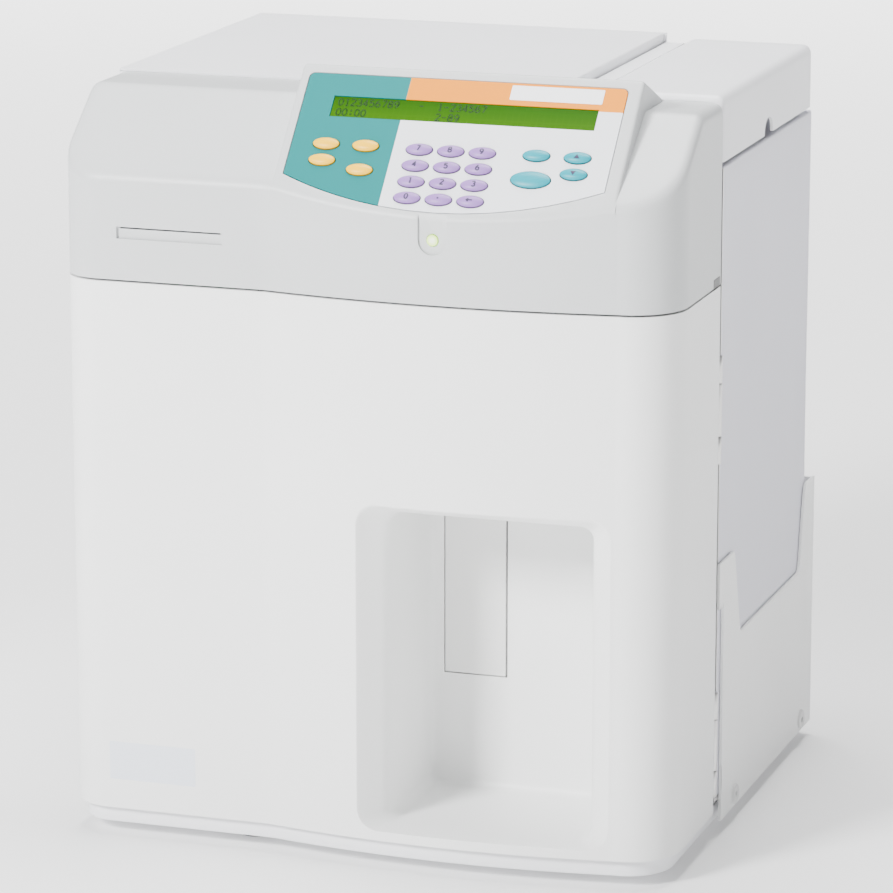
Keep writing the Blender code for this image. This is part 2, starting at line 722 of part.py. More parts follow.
def make_console_cover():
    """The grey upper cover: keypad hood, card slot and lamp seat."""
    cover = console_block("console_cover", 0, SEAM_HEIGHT + SEAM_GAP, COVER_REAR)
    hollow = console_block("console_hollow", COVER_WALL, SEAM_HEIGHT - OVERRUN, COVER_REAR + OVERRUN)
    cut(cover, hollow)
    seat = outline_solid("panel_seat", [panel_outline(-GAP)], -PANEL_SEAT, OVERRUN)
    cut(cover, on_hood(seat))
    window = outline_solid("panel_window", [panel_outline(PANEL_LEDGE)], -COVER_WALL - OVERRUN, OVERRUN)
    cut(cover, on_hood(window))
    sink = box("slot_sink", (SLOT_LEFT, -OVERRUN, SLOT_BOTTOM), (SLOT_RIGHT, SLOT_SINK, SLOT_TOP))
    cut(cover, sink)
    mouth = box("slot_mouth", (SLOT_LEFT + SLOT_MARGIN, -OVERRUN, SLOT_TOP - GAP - SLOT_MOUTH),
                (SLOT_RIGHT - SLOT_MARGIN, COVER_WALL + OVERRUN, SLOT_TOP - GAP))
    cut(cover, mouth)
    pad = arc((LAMP_X, LAMP_Z), PAD_HALF_WIDTH, 180, 360, CORNER_STEPS)
    pad = pad + [(LAMP_X + PAD_HALF_WIDTH, PAD_TOP), (LAMP_X - PAD_HALF_WIDTH, PAD_TOP)]
    cut(cover, outline_solid("lamp_pad", [pad], -BULGE_DEPTH - OVERRUN, -BULGE_DEPTH + PAD_DEPTH, "XZ"))
    hole = rod("lamp_hole", LAMP_RADIUS + GAP, (LAMP_X, -BULGE_DEPTH - OVERRUN, LAMP_Z),
               (LAMP_X, COVER_WALL - BULGE_DEPTH + OVERRUN, LAMP_Z), SMALL_ROUND_SIDES)
    cut(cover, hole)
    return cover


def recess_ring(left, right, bottom, top, y, corner):
    """A rounded rectangle standing across the recess at one depth."""
    flat = rounded(rectangle(left, right, bottom, top), [corner] * 4, RECESS_STEPS)
    return [(x, y, z) for x, z in flat]


def recess_form(name, wall):
    """The recess: a bevelled mouth and a deep well, grown outwards by a wall."""
    mouth = -BULGE_DEPTH - OVERRUN
    run = (RECESS_LIP - mouth) / (RECESS_LIP + BULGE_DEPTH)
    side = RECESS_BEVEL * run
    roof = RECESS_TOP_BEVEL * run
    left = RECESS_LEFT + RECESS_BEVEL - wall
    right = RECESS_RIGHT - RECESS_BEVEL + wall
    floor = RECESS_FLOOR - wall
    top = RECESS_TOP - RECESS_TOP_BEVEL + wall
    lowest = floor - (RECESS_FLOOR - RECESS_BOTTOM) * run
    rings = [
        recess_ring(left - side, right + side, lowest, top + roof, mouth, RECESS_MOUTH_CORNER),
        recess_ring(left, right, floor, top, RECESS_LIP, RECESS_CORNER),
        recess_ring(left, right, floor, top, RECESS_REAR + wall, RECESS_CORNER),
    ]
    return loft(name, rings)


def make_front_cover():
    """The white lower cover with the sample recess moulded in."""
    cover = outline_solid("front_cover", [plan(0, COVER_REAR)], COVER_BOTTOM, SEAM_HEIGHT)
    hollow = outline_solid("cover_hollow", [plan(COVER_WALL, COVER_REAR + OVERRUN)],
                           COVER_BOTTOM - OVERRUN, SEAM_HEIGHT + OVERRUN)
    cut(hollow, recess_form("recess_shell", COVER_WALL))
    cut(cover, hollow)
    cut(cover, recess_form("recess_well", 0))
    roof = RECESS_TOP - RECESS_TOP_BEVEL
    opening = box("plate_opening",
                  (PLATE_LEFT - PLATE_CLEAR, RECESS_REAR - OVERRUN, PLATE_BOTTOM - PLATE_CLEAR),
                  (PLATE_RIGHT + PLATE_CLEAR, RECESS_REAR + COVER_WALL + OVERRUN,
                   roof - PLATE_TOP_DROP + PLATE_CLEAR))
    cut(cover, opening)
    hole = rod("needle_hole", ROOF_HOLE_RADIUS, (NEEDLE_X, NEEDLE_Y, roof - OVERRUN),
               (NEEDLE_X, NEEDLE_Y, roof + COVER_WALL + OVERRUN), SMALL_ROUND_SIDES)
    cut(cover, hole)
    return cover


def make_press_plate():
    """The plate that the sample tube pushes, hung from a boss at its top."""
    roof = RECESS_TOP - RECESS_TOP_BEVEL
    top = roof - PLATE_TOP_DROP
    plate = box("press_plate", (PLATE_LEFT, RECESS_REAR, PLATE_BOTTOM),
                (PLATE_RIGHT, RECESS_REAR + PLATE_THICKNESS, top))
    pivot = plate_pivot()
    boss = rod("plate_boss", PLATE_BOSS_RADIUS, (PLATE_LEFT, pivot[1], pivot[2]),
               (PLATE_RIGHT, pivot[1], pivot[2]), SMALL_ROUND_SIDES)
    join(plate, boss)
    bore = rod("plate_bore", PLATE_PIN_RADIUS + GAP, (PLATE_LEFT - OVERRUN, pivot[1], pivot[2]),
               (PLATE_RIGHT + OVERRUN, pivot[1], pivot[2]), SMALL_ROUND_SIDES)
    cut(plate, bore)
    return set_pivot(plate, pivot)


def plate_pivot():
    """A point on the press plate's axis."""
    top = RECESS_TOP - RECESS_TOP_BEVEL - PLATE_TOP_DROP
    return ((PLATE_LEFT + PLATE_RIGHT) / 2, RECESS_REAR + PLATE_THICKNESS + PLATE_BOSS_RADIUS * BOSS_SHARE,
            top - PLATE_PIVOT_DROP)


def make_plate_bracket():
    """The bracket behind the press plate: two cheeks, a back and the pin between them."""
    pivot = plate_pivot()
    left = PLATE_LEFT - PLATE_CLEAR
    right = PLATE_RIGHT + PLATE_CLEAR
    front = RECESS_REAR + COVER_WALL + GAP
    rear = RECESS_REAR + PLATE_BRACKET_DEPTH
    top = pivot[2] + PLATE_PIVOT_DROP
    bottom = top - PLATE_BRACKET_HEIGHT
    outline = [(left - PLATE_BRACKET_SIDE, front), (left, front), (left, rear - PLATE_BRACKET_SIDE),
               (right, rear - PLATE_BRACKET_SIDE), (right, front), (right + PLATE_BRACKET_SIDE, front),
               (right + PLATE_BRACKET_SIDE, rear), (left - PLATE_BRACKET_SIDE, rear)]
    bracket = outline_solid("plate_bracket", [outline], bottom, top)
    pin = rod("plate_pin", PLATE_PIN_RADIUS, (left - GAP, pivot[1], pivot[2]),
              (right + GAP, pivot[1], pivot[2]), SMALL_ROUND_SIDES)
    return join(bracket, pin)


def set_pivot(piece, pivot):
    """Put a piece's origin on a point of its joint's axis without moving its shape."""
    shift = Vector(pivot)
    piece.data.transform(Matrix.Translation(-shift))
    piece.location = shift
    return piece


def make_base_pan():
    """The tray that the whole instrument stands in, set in behind the covers."""
    rear = BODY_REAR - BASE_INSET
    pan = outline_solid("base_pan", [plan(BASE_INSET, rear)], FOOT_HEIGHT, BASE_RIM_TOP)
    inside = outline_solid("pan_hollow", [plan(BASE_INSET + BASE_FLOOR, rear - BASE_FLOOR)],
                           FOOT_HEIGHT + BASE_FLOOR, BASE_RIM_TOP + OVERRUN)
    return cut(pan, inside)


def make_feet():
    """Four rubber feet, wider at the table, under the base."""
    places = [
        ("foot_front_left", FRONT_LEFT_FOOT, FRONT_FEET_DEPTH),
        ("foot_front_right", FRONT_RIGHT_FOOT, FRONT_FEET_DEPTH),
        ("foot_rear_left", REAR_LEFT_FOOT, REAR_FEET_DEPTH),
        ("foot_rear_right", REAR_RIGHT_FOOT, REAR_FEET_DEPTH),
    ]
    return [rod(name, FOOT_RADIUS, (x, y, 0), (x, y, FOOT_HEIGHT - GAP), end_radius=FOOT_WAIST)
            for name, x, y in places]


def make_left_panel():
    """The sheet on the left side, with a flange that rests on the base's rim."""
    front = COVER_REAR + SEAM_GAP
    rear = BODY_REAR - SHEET - SEAM_GAP
    foot = BASE_RIM_TOP + GAP
    top = TOP_COVER_HEIGHT - SHEET - GAP
    profile = [(0, foot), (PANEL_FLANGE, foot), (PANEL_FLANGE, foot + SHEET), (SHEET, foot + SHEET),
               (SHEET, top - SHEET), (PANEL_FLANGE, top - SHEET), (PANEL_FLANGE, top), (0, top)]
    return outline_solid("left_panel", [profile], front, rear, "XZ")


def make_rear_panel():
    """The sheet across the rear, with vents, a fan opening and places for the mains inlet and the ports."""
    outer = rectangle(0, REAR_PANEL_RIGHT, BASE_RIM_TOP + GAP, TOP_COVER_HEIGHT)
    holes = []
    for i in range(VENT_COUNT):
        left = VENT_LEFT + VENT_PITCH * i
        holes.append(rectangle(left, left + VENT_WIDTH, VENT_BOTTOM, VENT_BOTTOM + VENT_LENGTH))
    for i in range(-FAN_SLOTS, FAN_SLOTS + 1):
        across = VENT_PITCH * i
        half = math.sqrt((FAN_BORE - VENT_WIDTH) ** 2 - across ** 2)
        holes.append(rectangle(FAN_X + across - VENT_WIDTH / 2, FAN_X + across + VENT_WIDTH / 2,
                               FAN_Z - half, FAN_Z + half))
    for x, width, height, room in ((INLET_X, INLET_WIDTH, INLET_HEIGHT, GAP), (PORTS_X, PORTS_WIDTH, PORTS_HEIGHT, GAP),
                                   (SWITCH_X, SWITCH_WIDTH, SWITCH_HEIGHT, RUNNING_GAP)):
        half = width / 2 + room
        tall = height / 2 + room
        holes.append(rectangle(x - half, x + half, INLET_Z - tall, INLET_Z + tall))
    return outline_solid("rear_panel", [outer] + holes, BODY_REAR - SHEET, BODY_REAR, "XZ")


def make_service_wall():
    """The wall between the works and the reagent bay, with a front leg that carries the hinges."""
    front = COVER_REAR + SEAM_GAP
    rear = BODY_REAR - SHEET - SEAM_GAP
    outline = [(BAY_WALL, front), (BAY_LEG_RIGHT, front), (BAY_LEG_RIGHT, front + SHEET),
               (BAY_WALL + SHEET, front + SHEET), (BAY_WALL + SHEET, rear), (BAY_WALL, rear)]
    wall = outline_solid("service_wall", [outline], BASE_RIM_TOP + GAP, BAY_WALL_TOP)
    relief = box("leg_relief", (BAY_WALL + SHEET + GAP, front - OVERRUN, BAY_LEG_TOP),
                 (BAY_LEG_RIGHT + OVERRUN, front + SHEET + OVERRUN, BAY_WALL_TOP + OVERRUN))
    return cut(wall, relief)


def make_top_cover():
    """The flat lid over the works, turned down along its right edge."""
    profile = [(0, TOP_COVER_HEIGHT - SHEET), (TOP_COVER_RIGHT - SHEET, TOP_COVER_HEIGHT - SHEET),
               (TOP_COVER_RIGHT - SHEET, TOP_COVER_HEIGHT - TOP_FLANGE_DROP),
               (TOP_COVER_RIGHT, TOP_COVER_HEIGHT - TOP_FLANGE_DROP),
               (TOP_COVER_RIGHT, TOP_COVER_HEIGHT), (0, TOP_COVER_HEIGHT)]
    return outline_solid("top_cover", [profile], COVER_REAR + SEAM_GAP, BODY_REAR - SHEET - GAP, "XZ")


def key_places():
    """Name, place and size of every key on the panel."""
    keys = []
    number_names = [["7", "8", "9"], ["4", "5", "6"], ["1", "2", "3"], ["0", "point", "clear"]]
    for row, names in enumerate(number_names):
        for column, name in enumerate(names):
            keys.append(("key_" + name, NUMBER_LEFT + NUMBER_STEP * column, NUMBER_TOP - NUMBER_DROP * row,
                         KEY_LENGTH, KEY_HEIGHT, "number_key"))
    keys.append(("key_ready", START_LEFT, UPPER_ROW, KEY_LENGTH, KEY_HEIGHT, "start_key"))
    keys.append(("key_identity", START_RIGHT, UPPER_ROW, KEY_LENGTH, KEY_HEIGHT, "start_key"))
    keys.append(("key_rest", START_LEFT, LOWER_ROW, KEY_LENGTH, KEY_HEIGHT, "start_key"))
    keys.append(("key_run", START_RIGHT, BOTTOM_ROW, KEY_LENGTH, KEY_HEIGHT, "start_key"))
    keys.append(("key_back", COMMAND_LEFT, UPPER_ROW, KEY_LENGTH, KEY_HEIGHT, "command_key"))
    keys.append(("key_up", COMMAND_RIGHT, UPPER_ROW, KEY_LENGTH, KEY_HEIGHT, "command_key"))
    keys.append(("key_down", COMMAND_RIGHT, LOWER_ROW, KEY_LENGTH, KEY_HEIGHT, "command_key"))
    keys.append(("key_accept", COMMAND_LEFT, BOTTOM_ROW, ENTER_LENGTH, ENTER_HEIGHT, "command_key"))
    return keys


def make_keypad_panel():
    """The printed panel, with a hole for each key and a window for the display."""
    holes = [rectangle(LCD_LEFT, LCD_RIGHT, LCD_BOTTOM, LCD_TOP)]
    for _, x, up, length, height, _ in key_places():
        holes.append(ellipse(x, up, length + 2 * RUNNING_GAP, height + 2 * RUNNING_GAP))
    panel = outline_solid("keypad_panel", [panel_outline()] + holes, -PANEL_THICKNESS, 0)
    return on_hood(panel)


def key_ring(x, up, length, height, level):
    return [(across, along, level) for across, along in ellipse(x, up, length, height)]


def make_keys():
    """Domed oval keys, each with its origin on the line it slides along."""
    dome_shares = ((1.0, 0.0), (0.9, 0.55), (0.55, 1.0))
    keys = []
    for name, x, up, length, height, kind in key_places():
        rings = [key_ring(x, up, length, height, -KEY_ROOT)]
        for size_share, rise_share in dome_shares:
            level = KEY_SHOULDER + (KEY_PROUD - KEY_SHOULDER) * rise_share
            rings.append(key_ring(x, up, length * size_share, height * size_share, level))
        key = on_hood(loft(name, rings))
        keys.append((set_pivot(key, hood_place() @ Vector((x, up, 0))), kind))
    return keys


def make_keypad_board():
    """The circuit board under the keys, on short posts below the panel."""
    bottom_edge = PANEL_SIDE_FOOT - PANEL_SAG + BOARD_MARGIN
    left = PANEL_LEFT + BOARD_MARGIN
    right = PANEL_RIGHT - BOARD_MARGIN
    low = -BOARD_DROP - BOARD_THICKNESS
    posts = [(left + BOARD_MARGIN, BOARD_TOP - BOARD_POST_RADIUS * 2),
             (right - BOARD_MARGIN, BOARD_TOP - BOARD_POST_RADIUS * 2),
             ((COMMAND_LEFT + NUMBER_LEFT + NUMBER_STEP * 2) / 2, (LOWER_ROW + UPPER_ROW) / 2)]
    sill = PANEL_SIDE_FOOT
    outline = [(left, sill), (NUMBER_LEFT - KEY_LENGTH / 2, bottom_edge),
               (NUMBER_LEFT + NUMBER_STEP * 2 + KEY_LENGTH / 2, bottom_edge), (right, sill),
               (right, BOARD_TOP), (left, BOARD_TOP)]
    board = on_hood(outline_solid("keypad_board", [outline], low, -BOARD_DROP))
    for i, (x, up) in enumerate(posts):
        post = rod("board_post_" + str(i), BOARD_POST_RADIUS, (x, up, low + GAP),
                   (x, up, -PANEL_THICKNESS - GAP), SMALL_ROUND_SIDES)
        join(board, on_hood(post))
    return board


def make_display_module():
    """The display: a glass face in the panel's window on a wider frame behind."""
    face = box("display_module", (LCD_LEFT + GAP, LCD_BOTTOM + GAP, -MODULE_DEPTH),
               (LCD_RIGHT - GAP, LCD_TOP - GAP, -LCD_SINK))
    frame = box("display_frame", (LCD_LEFT - MODULE_MARGIN, LCD_BOTTOM - MODULE_MARGIN, -MODULE_DEPTH - GAP),
                (LCD_RIGHT + MODULE_MARGIN, LCD_TOP + MODULE_MARGIN, -PANEL_THICKNESS - GAP))
    return join(on_hood(face), on_hood(frame))


def make_status_lens():
    """The lamp's lens, held behind the cover by a flange."""
    inner = -BULGE_DEPTH + COVER_WALL + GAP
    lens = rod("status_lens", LAMP_RADIUS, (LAMP_X, inner + LAMP_FLANGE, LAMP_Z),
               (LAMP_X, -BULGE_DEPTH + PAD_DEPTH / 2, LAMP_Z), SMALL_ROUND_SIDES)
    flange = rod("lens_flange", LAMP_FLANGE_RADIUS, (LAMP_X, inner + LAMP_FLANGE + GAP, LAMP_Z),
                 (LAMP_X, inner + GAP, LAMP_Z), SMALL_ROUND_SIDES)
    return join(lens, flange)


def make_card_reader():
    """The card reader behind the slot."""
    left = SLOT_LEFT + SLOT_MARGIN
    right = SLOT_RIGHT - SLOT_MARGIN
    front = COVER_WALL + GAP
    reader = box("card_reader", (left - READER_MARGIN, front, SLOT_BOTTOM - READER_BELOW),
                 (right + READER_MARGIN, front + READER_DEPTH, SLOT_TOP + READER_MARGIN))
    slot = box("reader_slot", (left, front - OVERRUN, SLOT_TOP - GAP - SLOT_MOUTH),
               (right, front + READER_DEPTH - READER_BACK, SLOT_TOP - GAP))
    return cut(reader, slot)


def cap_axis():
    """A point on the reagent cap's hinge line."""
    return (CAP_AXIS_X, COVER_REAR + SEAM_GAP, STRIP_TOP - CAP_AXIS_DROP)


def make_cap_hinge_strip():
    """The fixed strip beside the top cover, with the rolled edge that the cap turns on."""
    front = COVER_REAR + SEAM_GAP
    axis = cap_axis()
    web = CAP_PIN_RADIUS / 2
    strip = outline_solid("cap_hinge_strip", [[
        (STRIP_LEFT, STRIP_TOP - STRIP_THICKNESS), (STRIP_RIGHT, STRIP_TOP - STRIP_THICKNESS),
        (STRIP_RIGHT, axis[2] - web), (axis[0], axis[2] - web), (axis[0], axis[2] + web),
        (STRIP_RIGHT, axis[2] + web), (STRIP_RIGHT, STRIP_TOP), (STRIP_LEFT, STRIP_TOP)]],
        front, BODY_REAR - SHEET, "XZ")
    bead = rod("strip_bead", CAP_PIN_RADIUS, (axis[0], front, axis[2]), (axis[0], CAP_REAR, axis[2]),
               SMALL_ROUND_SIDES)
    return join(strip, bead)


def make_reagent_cap():
    """The hinged cap over the reagent pack: edge at the hinge, rise, flat top, rounded shoulder and skirt."""
    front = COVER_REAR + SEAM_GAP
    low = STRIP_TOP - STRIP_THICKNESS - GAP
    centre = (BODY_WIDTH - CAP_ROUND, CAP_TOP - CAP_ROUND)
    body = [(CAP_EDGE, low), (CAP_RISE_RIGHT, low), (CAP_RISE_RIGHT, CAP_BOTTOM), (BODY_WIDTH, CAP_BOTTOM)]
    body = body + arc(centre, CAP_ROUND, 0, 90, CORNER_STEPS)
    body = body + [(CAP_RISE_RIGHT, CAP_TOP), (CAP_RISE_LEFT, STRIP_TOP), (CAP_EDGE, STRIP_TOP)]
    cap = outline_solid("reagent_cap", [body], front, CAP_REAR, "XZ")
    open_left = CAP_RISE_RIGHT - OVERRUN
    hollow = [(open_left, CAP_BOTTOM - OVERRUN), (BODY_WIDTH - CAP_WALL, CAP_BOTTOM - OVERRUN)]
    hollow = hollow + arc(centre, CAP_ROUND - CAP_WALL, 0, 90, CORNER_STEPS)
    inner = CAP_RISE_RIGHT + CAP_WALL
    hollow = hollow + [(inner, CAP_TOP - CAP_WALL), (inner, low - GAP), (open_left, low - GAP)]
    cut(cap, outline_solid("cap_hollow", [hollow], front + CAP_WALL, CAP_REAR - CAP_WALL, "XZ"))
    notch = rod("finger_notch", NOTCH_RADIUS, (BODY_WIDTH - CAP_ROUND, NOTCH_Y, CAP_BOTTOM),
                (BODY_WIDTH + OVERRUN, NOTCH_Y, CAP_BOTTOM))
    cut(cap, notch)
    return set_pivot(cap, cap_axis())


def hinge_point():
    """A point on the side carrier's hinge line."""
    return (HINGE_X, COVER_REAR + HINGE_BACK, LOWER_HINGE)


def hinge_leaf(name, y, spans, bored):
    """A leaf with knuckles over some spans of its height, bored or with the pin through them."""
    x, axis_y, _ = hinge_point()
    low = min(span[0] for span in spans)
    high = max(span[1] for span in spans)
    leaf = box(name, (x - LEAF_WIDTH, y, low), (x - KNUCKLE_RADIUS / 2, y + LEAF, high))
    for i, (bottom, top) in enumerate(spans):
        join(leaf, rod(name + "_knuckle_" + str(i), KNUCKLE_RADIUS, (x, axis_y, bottom), (x, axis_y, top),
                       SMALL_ROUND_SIDES))
    if bored:
        cut(leaf, rod(name + "_bore", HINGE_BORE, (x, axis_y, low - OVERRUN), (x, axis_y, high + OVERRUN),
                      SMALL_ROUND_SIDES))
    else:
        gap = box(name + "_relief", (x - LEAF_WIDTH / 4, y - OVERRUN / 2, spans[0][1]),
                  (x + OVERRUN, axis_y + OVERRUN, spans[-1][0]))
        cut(leaf, gap)
        join(leaf, rod(name + "_pin", HINGE_PIN, (x, axis_y, low + GAP), (x, axis_y, high - GAP),
                       SMALL_ROUND_SIDES))
    return leaf


def make_hinges():
    """Two side hinges: a frame leaf with the outer knuckles and pin, a door leaf with the middle one."""
    frame_leaves = []
    door_leaves = []
    frame_y = COVER_REAR + SEAM_GAP + SHEET + GAP
    door_y = carrier_front() - GAP - LEAF
    for name, bottom in (("upper", UPPER_HINGE), ("lower", LOWER_HINGE)):
        top = bottom + HINGE_LENGTH
        ends = [(bottom, bottom + HINGE_END), (top - HINGE_END, top)]
        frame_leaves.append(hinge_leaf(name + "_hinge_frame_leaf", frame_y, ends, False))
        middle = [(bottom + HINGE_END + GAP, top - HINGE_END - GAP)]
        leaf = hinge_leaf(name + "_hinge_door_leaf", door_y, middle, True)
        door_leaves.append(set_pivot(leaf, hinge_point()))
    return frame_leaves, door_leaves


def carrier_front():
    """How far back the carrier's front sheet stands, just behind the hinge leaves."""
    return COVER_REAR + HINGE_BACK + KNUCKLE_RADIUS / 2 + GAP * 2


def make_pack_carrier():
    """The sheet that swings out with the pack: a front sheet on the hinges and a shelf under the pack."""
    front = carrier_front()
    right = BODY_WIDTH - SHEET / 2 - GAP
    profile = [(front, CARRIER_SHELF), (CARRIER_REAR, CARRIER_SHELF), (CARRIER_REAR, CARRIER_SHELF + SHEET),
               (front + SHEET, CARRIER_SHELF + SHEET), (front + SHEET, CARRIER_TOP), (front, CARRIER_TOP)]
    carrier = outline_solid("pack_carrier", [profile], CARRIER_LEFT, right, "YZ")
    x, axis_y, _ = hinge_point()
    for name, bottom in (("upper", UPPER_HINGE), ("lower", LOWER_HINGE)):
        relief = box("carrier_relief_" + name,
                     (x - KNUCKLE_RADIUS - RUNNING_GAP, front - OVERRUN, bottom - GAP),
                     (BODY_WIDTH + OVERRUN, front + SHEET + OVERRUN, bottom + HINGE_LENGTH + GAP))
        cut(carrier, relief)
    return set_pivot(carrier, hinge_point())


def make_pack_pocket():
    """The open pocket on the side: two ears, a dip between them and a return along the rear."""
    front_low = POCKET_FRONT + POCKET_STEP
    inner = BODY_WIDTH - SHEET / 2
    corners = [(front_low, POCKET_BOTTOM), (POCKET_REAR, POCKET_BOTTOM), (POCKET_REAR, POCKET_TOP),
               (POCKET_EAR_REAR, POCKET_TOP), (POCKET_LOW_REAR, POCKET_DIP), (POCKET_LOW_FRONT, POCKET_DIP),
               (POCKET_EAR_FRONT, POCKET_TOP), (POCKET_FRONT, POCKET_TOP), (POCKET_FRONT, POCKET_STEP_HEIGHT),
               (front_low, POCKET_STEP_HEIGHT)]
    radii = [0, 0, 0, SHEET, POCKET_CORNER, POCKET_CORNER, SHEET, 0, 0, 0]
    pocket = outline_solid("pack_pocket", [rounded(corners, radii)], inner, inner + SHEET, "YZ")
    rear = box("pocket_return", (inner - POCKET_RETURN, POCKET_REAR - SHEET, POCKET_RETURN_BOTTOM),
               (inner + SHEET / 2, POCKET_REAR - GAP, POCKET_TOP - GAP))
    join(pocket, rear)
    return set_pivot(pocket, hinge_point())


def make_reagent_pack():
    """The carton of reagents that stands in the carrier."""
    front = carrier_front() + SHEET + GAP
    pack = box("reagent_pack", (CARRIER_LEFT + GAP, front, CARRIER_SHELF + SHEET + GAP),
               (BODY_WIDTH - SHEET / 2 - GAP, PACK_REAR, PACK_TOP))
    bevel(pack, PACK_EDGE)
    return set_pivot(pack, hinge_point())


def make_carriage_rail():
    """The rail that the needle carriage runs on, held to the service wall by two arms."""
    rail = box("carriage_rail", (RAIL_LEFT, RAIL_FRONT, RAIL_BOTTOM),
               (RAIL_LEFT + RAIL_WIDTH, RAIL_REAR, RAIL_BOTTOM + RAIL_HEIGHT))
    for i, y in enumerate((RAIL_ARM_FRONT, RAIL_ARM_REAR)):
        arm = box("rail_arm_" + str(i), (RAIL_LEFT + RAIL_WIDTH / 2, y, RAIL_BOTTOM + GAP),
                  (BAY_WALL - GAP, y + RAIL_ARM_WIDTH, RAIL_BOTTOM + RAIL_HEIGHT / 2))
        join(rail, arm)
    return rail


def make_needle_carriage():
    """The block that runs along the rail and guides the needle."""
    left = NEEDLE_X - CARRIAGE_NECK
    front = NEEDLE_Y - CARRIAGE_LENGTH / 2
    bottom = RAIL_BOTTOM + RAIL_HEIGHT / 2 + RUNNING_GAP + CARRIAGE_WALL / 2
    block = box("needle_carriage", (left, front, RAIL_BOTTOM - CARRIAGE_WALL),
                (RAIL_LEFT + RAIL_WIDTH + CARRIAGE_WALL, front + CARRIAGE_LENGTH,
                 RAIL_BOTTOM + RAIL_HEIGHT + CARRIAGE_WALL))
    channel = box("rail_channel", (RAIL_LEFT - RUNNING_GAP, front - OVERRUN, RAIL_BOTTOM - RUNNING_GAP),
                  (RAIL_LEFT + RAIL_WIDTH + RUNNING_GAP, front + CARRIAGE_LENGTH + OVERRUN,
                   RAIL_BOTTOM + RAIL_HEIGHT + RUNNING_GAP))
    cut(block, channel)
    right = RAIL_LEFT + RAIL_WIDTH + CARRIAGE_WALL + OVERRUN
    arm_room = box("arm_channel",
                   (RAIL_LEFT + RAIL_WIDTH / 2, front - OVERRUN, RAIL_BOTTOM - CARRIAGE_WALL - OVERRUN),
                   (right, front + CARRIAGE_LENGTH + OVERRUN, bottom))
    cut(block, arm_room)
    reach = CARRIAGE_WALL + OVERRUN
    guide = rod("needle_guide", NEEDLE_RADIUS + GAP, (NEEDLE_X, NEEDLE_Y, RAIL_BOTTOM - reach),
                (NEEDLE_X, NEEDLE_Y, RAIL_BOTTOM + RAIL_HEIGHT + reach), SMALL_ROUND_SIDES)
    cut(block, guide)
    return set_pivot(block, (NEEDLE_X, NEEDLE_Y, RAIL_BOTTOM))


def make_sampling_needle():
    """The hollow needle, drawn as a rod, with the head that lifts and lowers it."""
    top = NEEDLE_TIP + NEEDLE_LENGTH
    needle = rod("sampling_needle", NEEDLE_RADIUS, (NEEDLE_X, NEEDLE_Y, NEEDLE_TIP),
                 (NEEDLE_X, NEEDLE_Y, top), SMALL_ROUND_SIDES)
    half = NEEDLE_HEAD / 2
    head = box("needle_head", (NEEDLE_X - half, NEEDLE_Y - half, top - NEEDLE_HEAD_HEIGHT),
               (NEEDLE_X + half, NEEDLE_Y + half, top + GAP))
    join(needle, head)
    return set_pivot(needle, (NEEDLE_X, NEEDLE_Y, NEEDLE_TIP))


def make_counting_chambers():
    """Two open counting cups on a block that is fixed to the service wall."""
    left = NEEDLE_X - CHAMBER_RADIUS - CHAMBER_BASE / 2
    margin = CHAMBER_RADIUS + CHAMBER_BASE / 2
    block = box("counting_chambers", (left, CHAMBER_Y - margin, CHAMBER_BOTTOM - CHAMBER_BASE),
                (BAY_WALL - GAP, CHAMBER_Y + CHAMBER_PITCH + margin, CHAMBER_BOTTOM))
    for i in range(CHAMBER_COUNT):
        y = CHAMBER_Y + CHAMBER_PITCH * i
        join(block, rod("chamber_" + str(i), CHAMBER_RADIUS, (NEEDLE_X, y, CHAMBER_BOTTOM - CHAMBER_BASE / 2),
                        (NEEDLE_X, y, CHAMBER_BOTTOM + CHAMBER_HEIGHT), SMALL_ROUND_SIDES))
        cut(block, rod("chamber_bore_" + str(i), CHAMBER_BORE, (NEEDLE_X, y, CHAMBER_BOTTOM),
                       (NEEDLE_X, y, CHAMBER_BOTTOM + CHAMBER_HEIGHT + OVERRUN), SMALL_ROUND_SIDES))
    return block


def make_syringe_block():
    """Three dosing syringes on a back plate that is fixed to the service wall."""
    rear = SYRINGE_FRONT + SYRINGE_PITCH * SYRINGE_COUNT
    block = box("syringe_block", (BAY_WALL - GAP - SYRINGE_BACK, SYRINGE_FRONT, SYRINGE_BOTTOM),
                (BAY_WALL - GAP, rear, SYRINGE_BOTTOM + SYRINGE_HEIGHT))
    for i in range(SYRINGE_COUNT):
        y = SYRINGE_FRONT + SYRINGE_PITCH * (i + 1 / 2)
        x = BAY_WALL - SYRINGE_BACK - SYRINGE_RADIUS + GAP * 3
        join(block, rod("syringe_" + str(i), SYRINGE_RADIUS, (x, y, SYRINGE_BOTTOM + SYRINGE_BACK),
                        (x, y, SYRINGE_BOTTOM + SYRINGE_HEIGHT - SYRINGE_BACK), SMALL_ROUND_SIDES))
    return block


def make_valve_bank():
    """A row of valves on a plate that lies on the base."""
    floor = FOOT_HEIGHT + BASE_FLOOR + GAP
    length = VALVE_PITCH * VALVE_COUNT + VALVE_PLATE
    bank = box("valve_bank", (VALVE_LEFT, VALVE_FRONT, floor),
               (VALVE_LEFT + VALVE_SIDE + VALVE_PLATE, VALVE_FRONT + length, floor + VALVE_PLATE))
    for i in range(VALVE_COUNT):
        y = VALVE_FRONT + VALVE_PLATE + VALVE_PITCH * i
        left = VALVE_LEFT + VALVE_PLATE / 2
        valve = box("valve_" + str(i), (left, y, floor + VALVE_PLATE / 2),
                    (left + VALVE_SIDE, y + VALVE_SIDE, floor + VALVE_PLATE + VALVE_HEIGHT))
        join(bank, valve)
    return bank


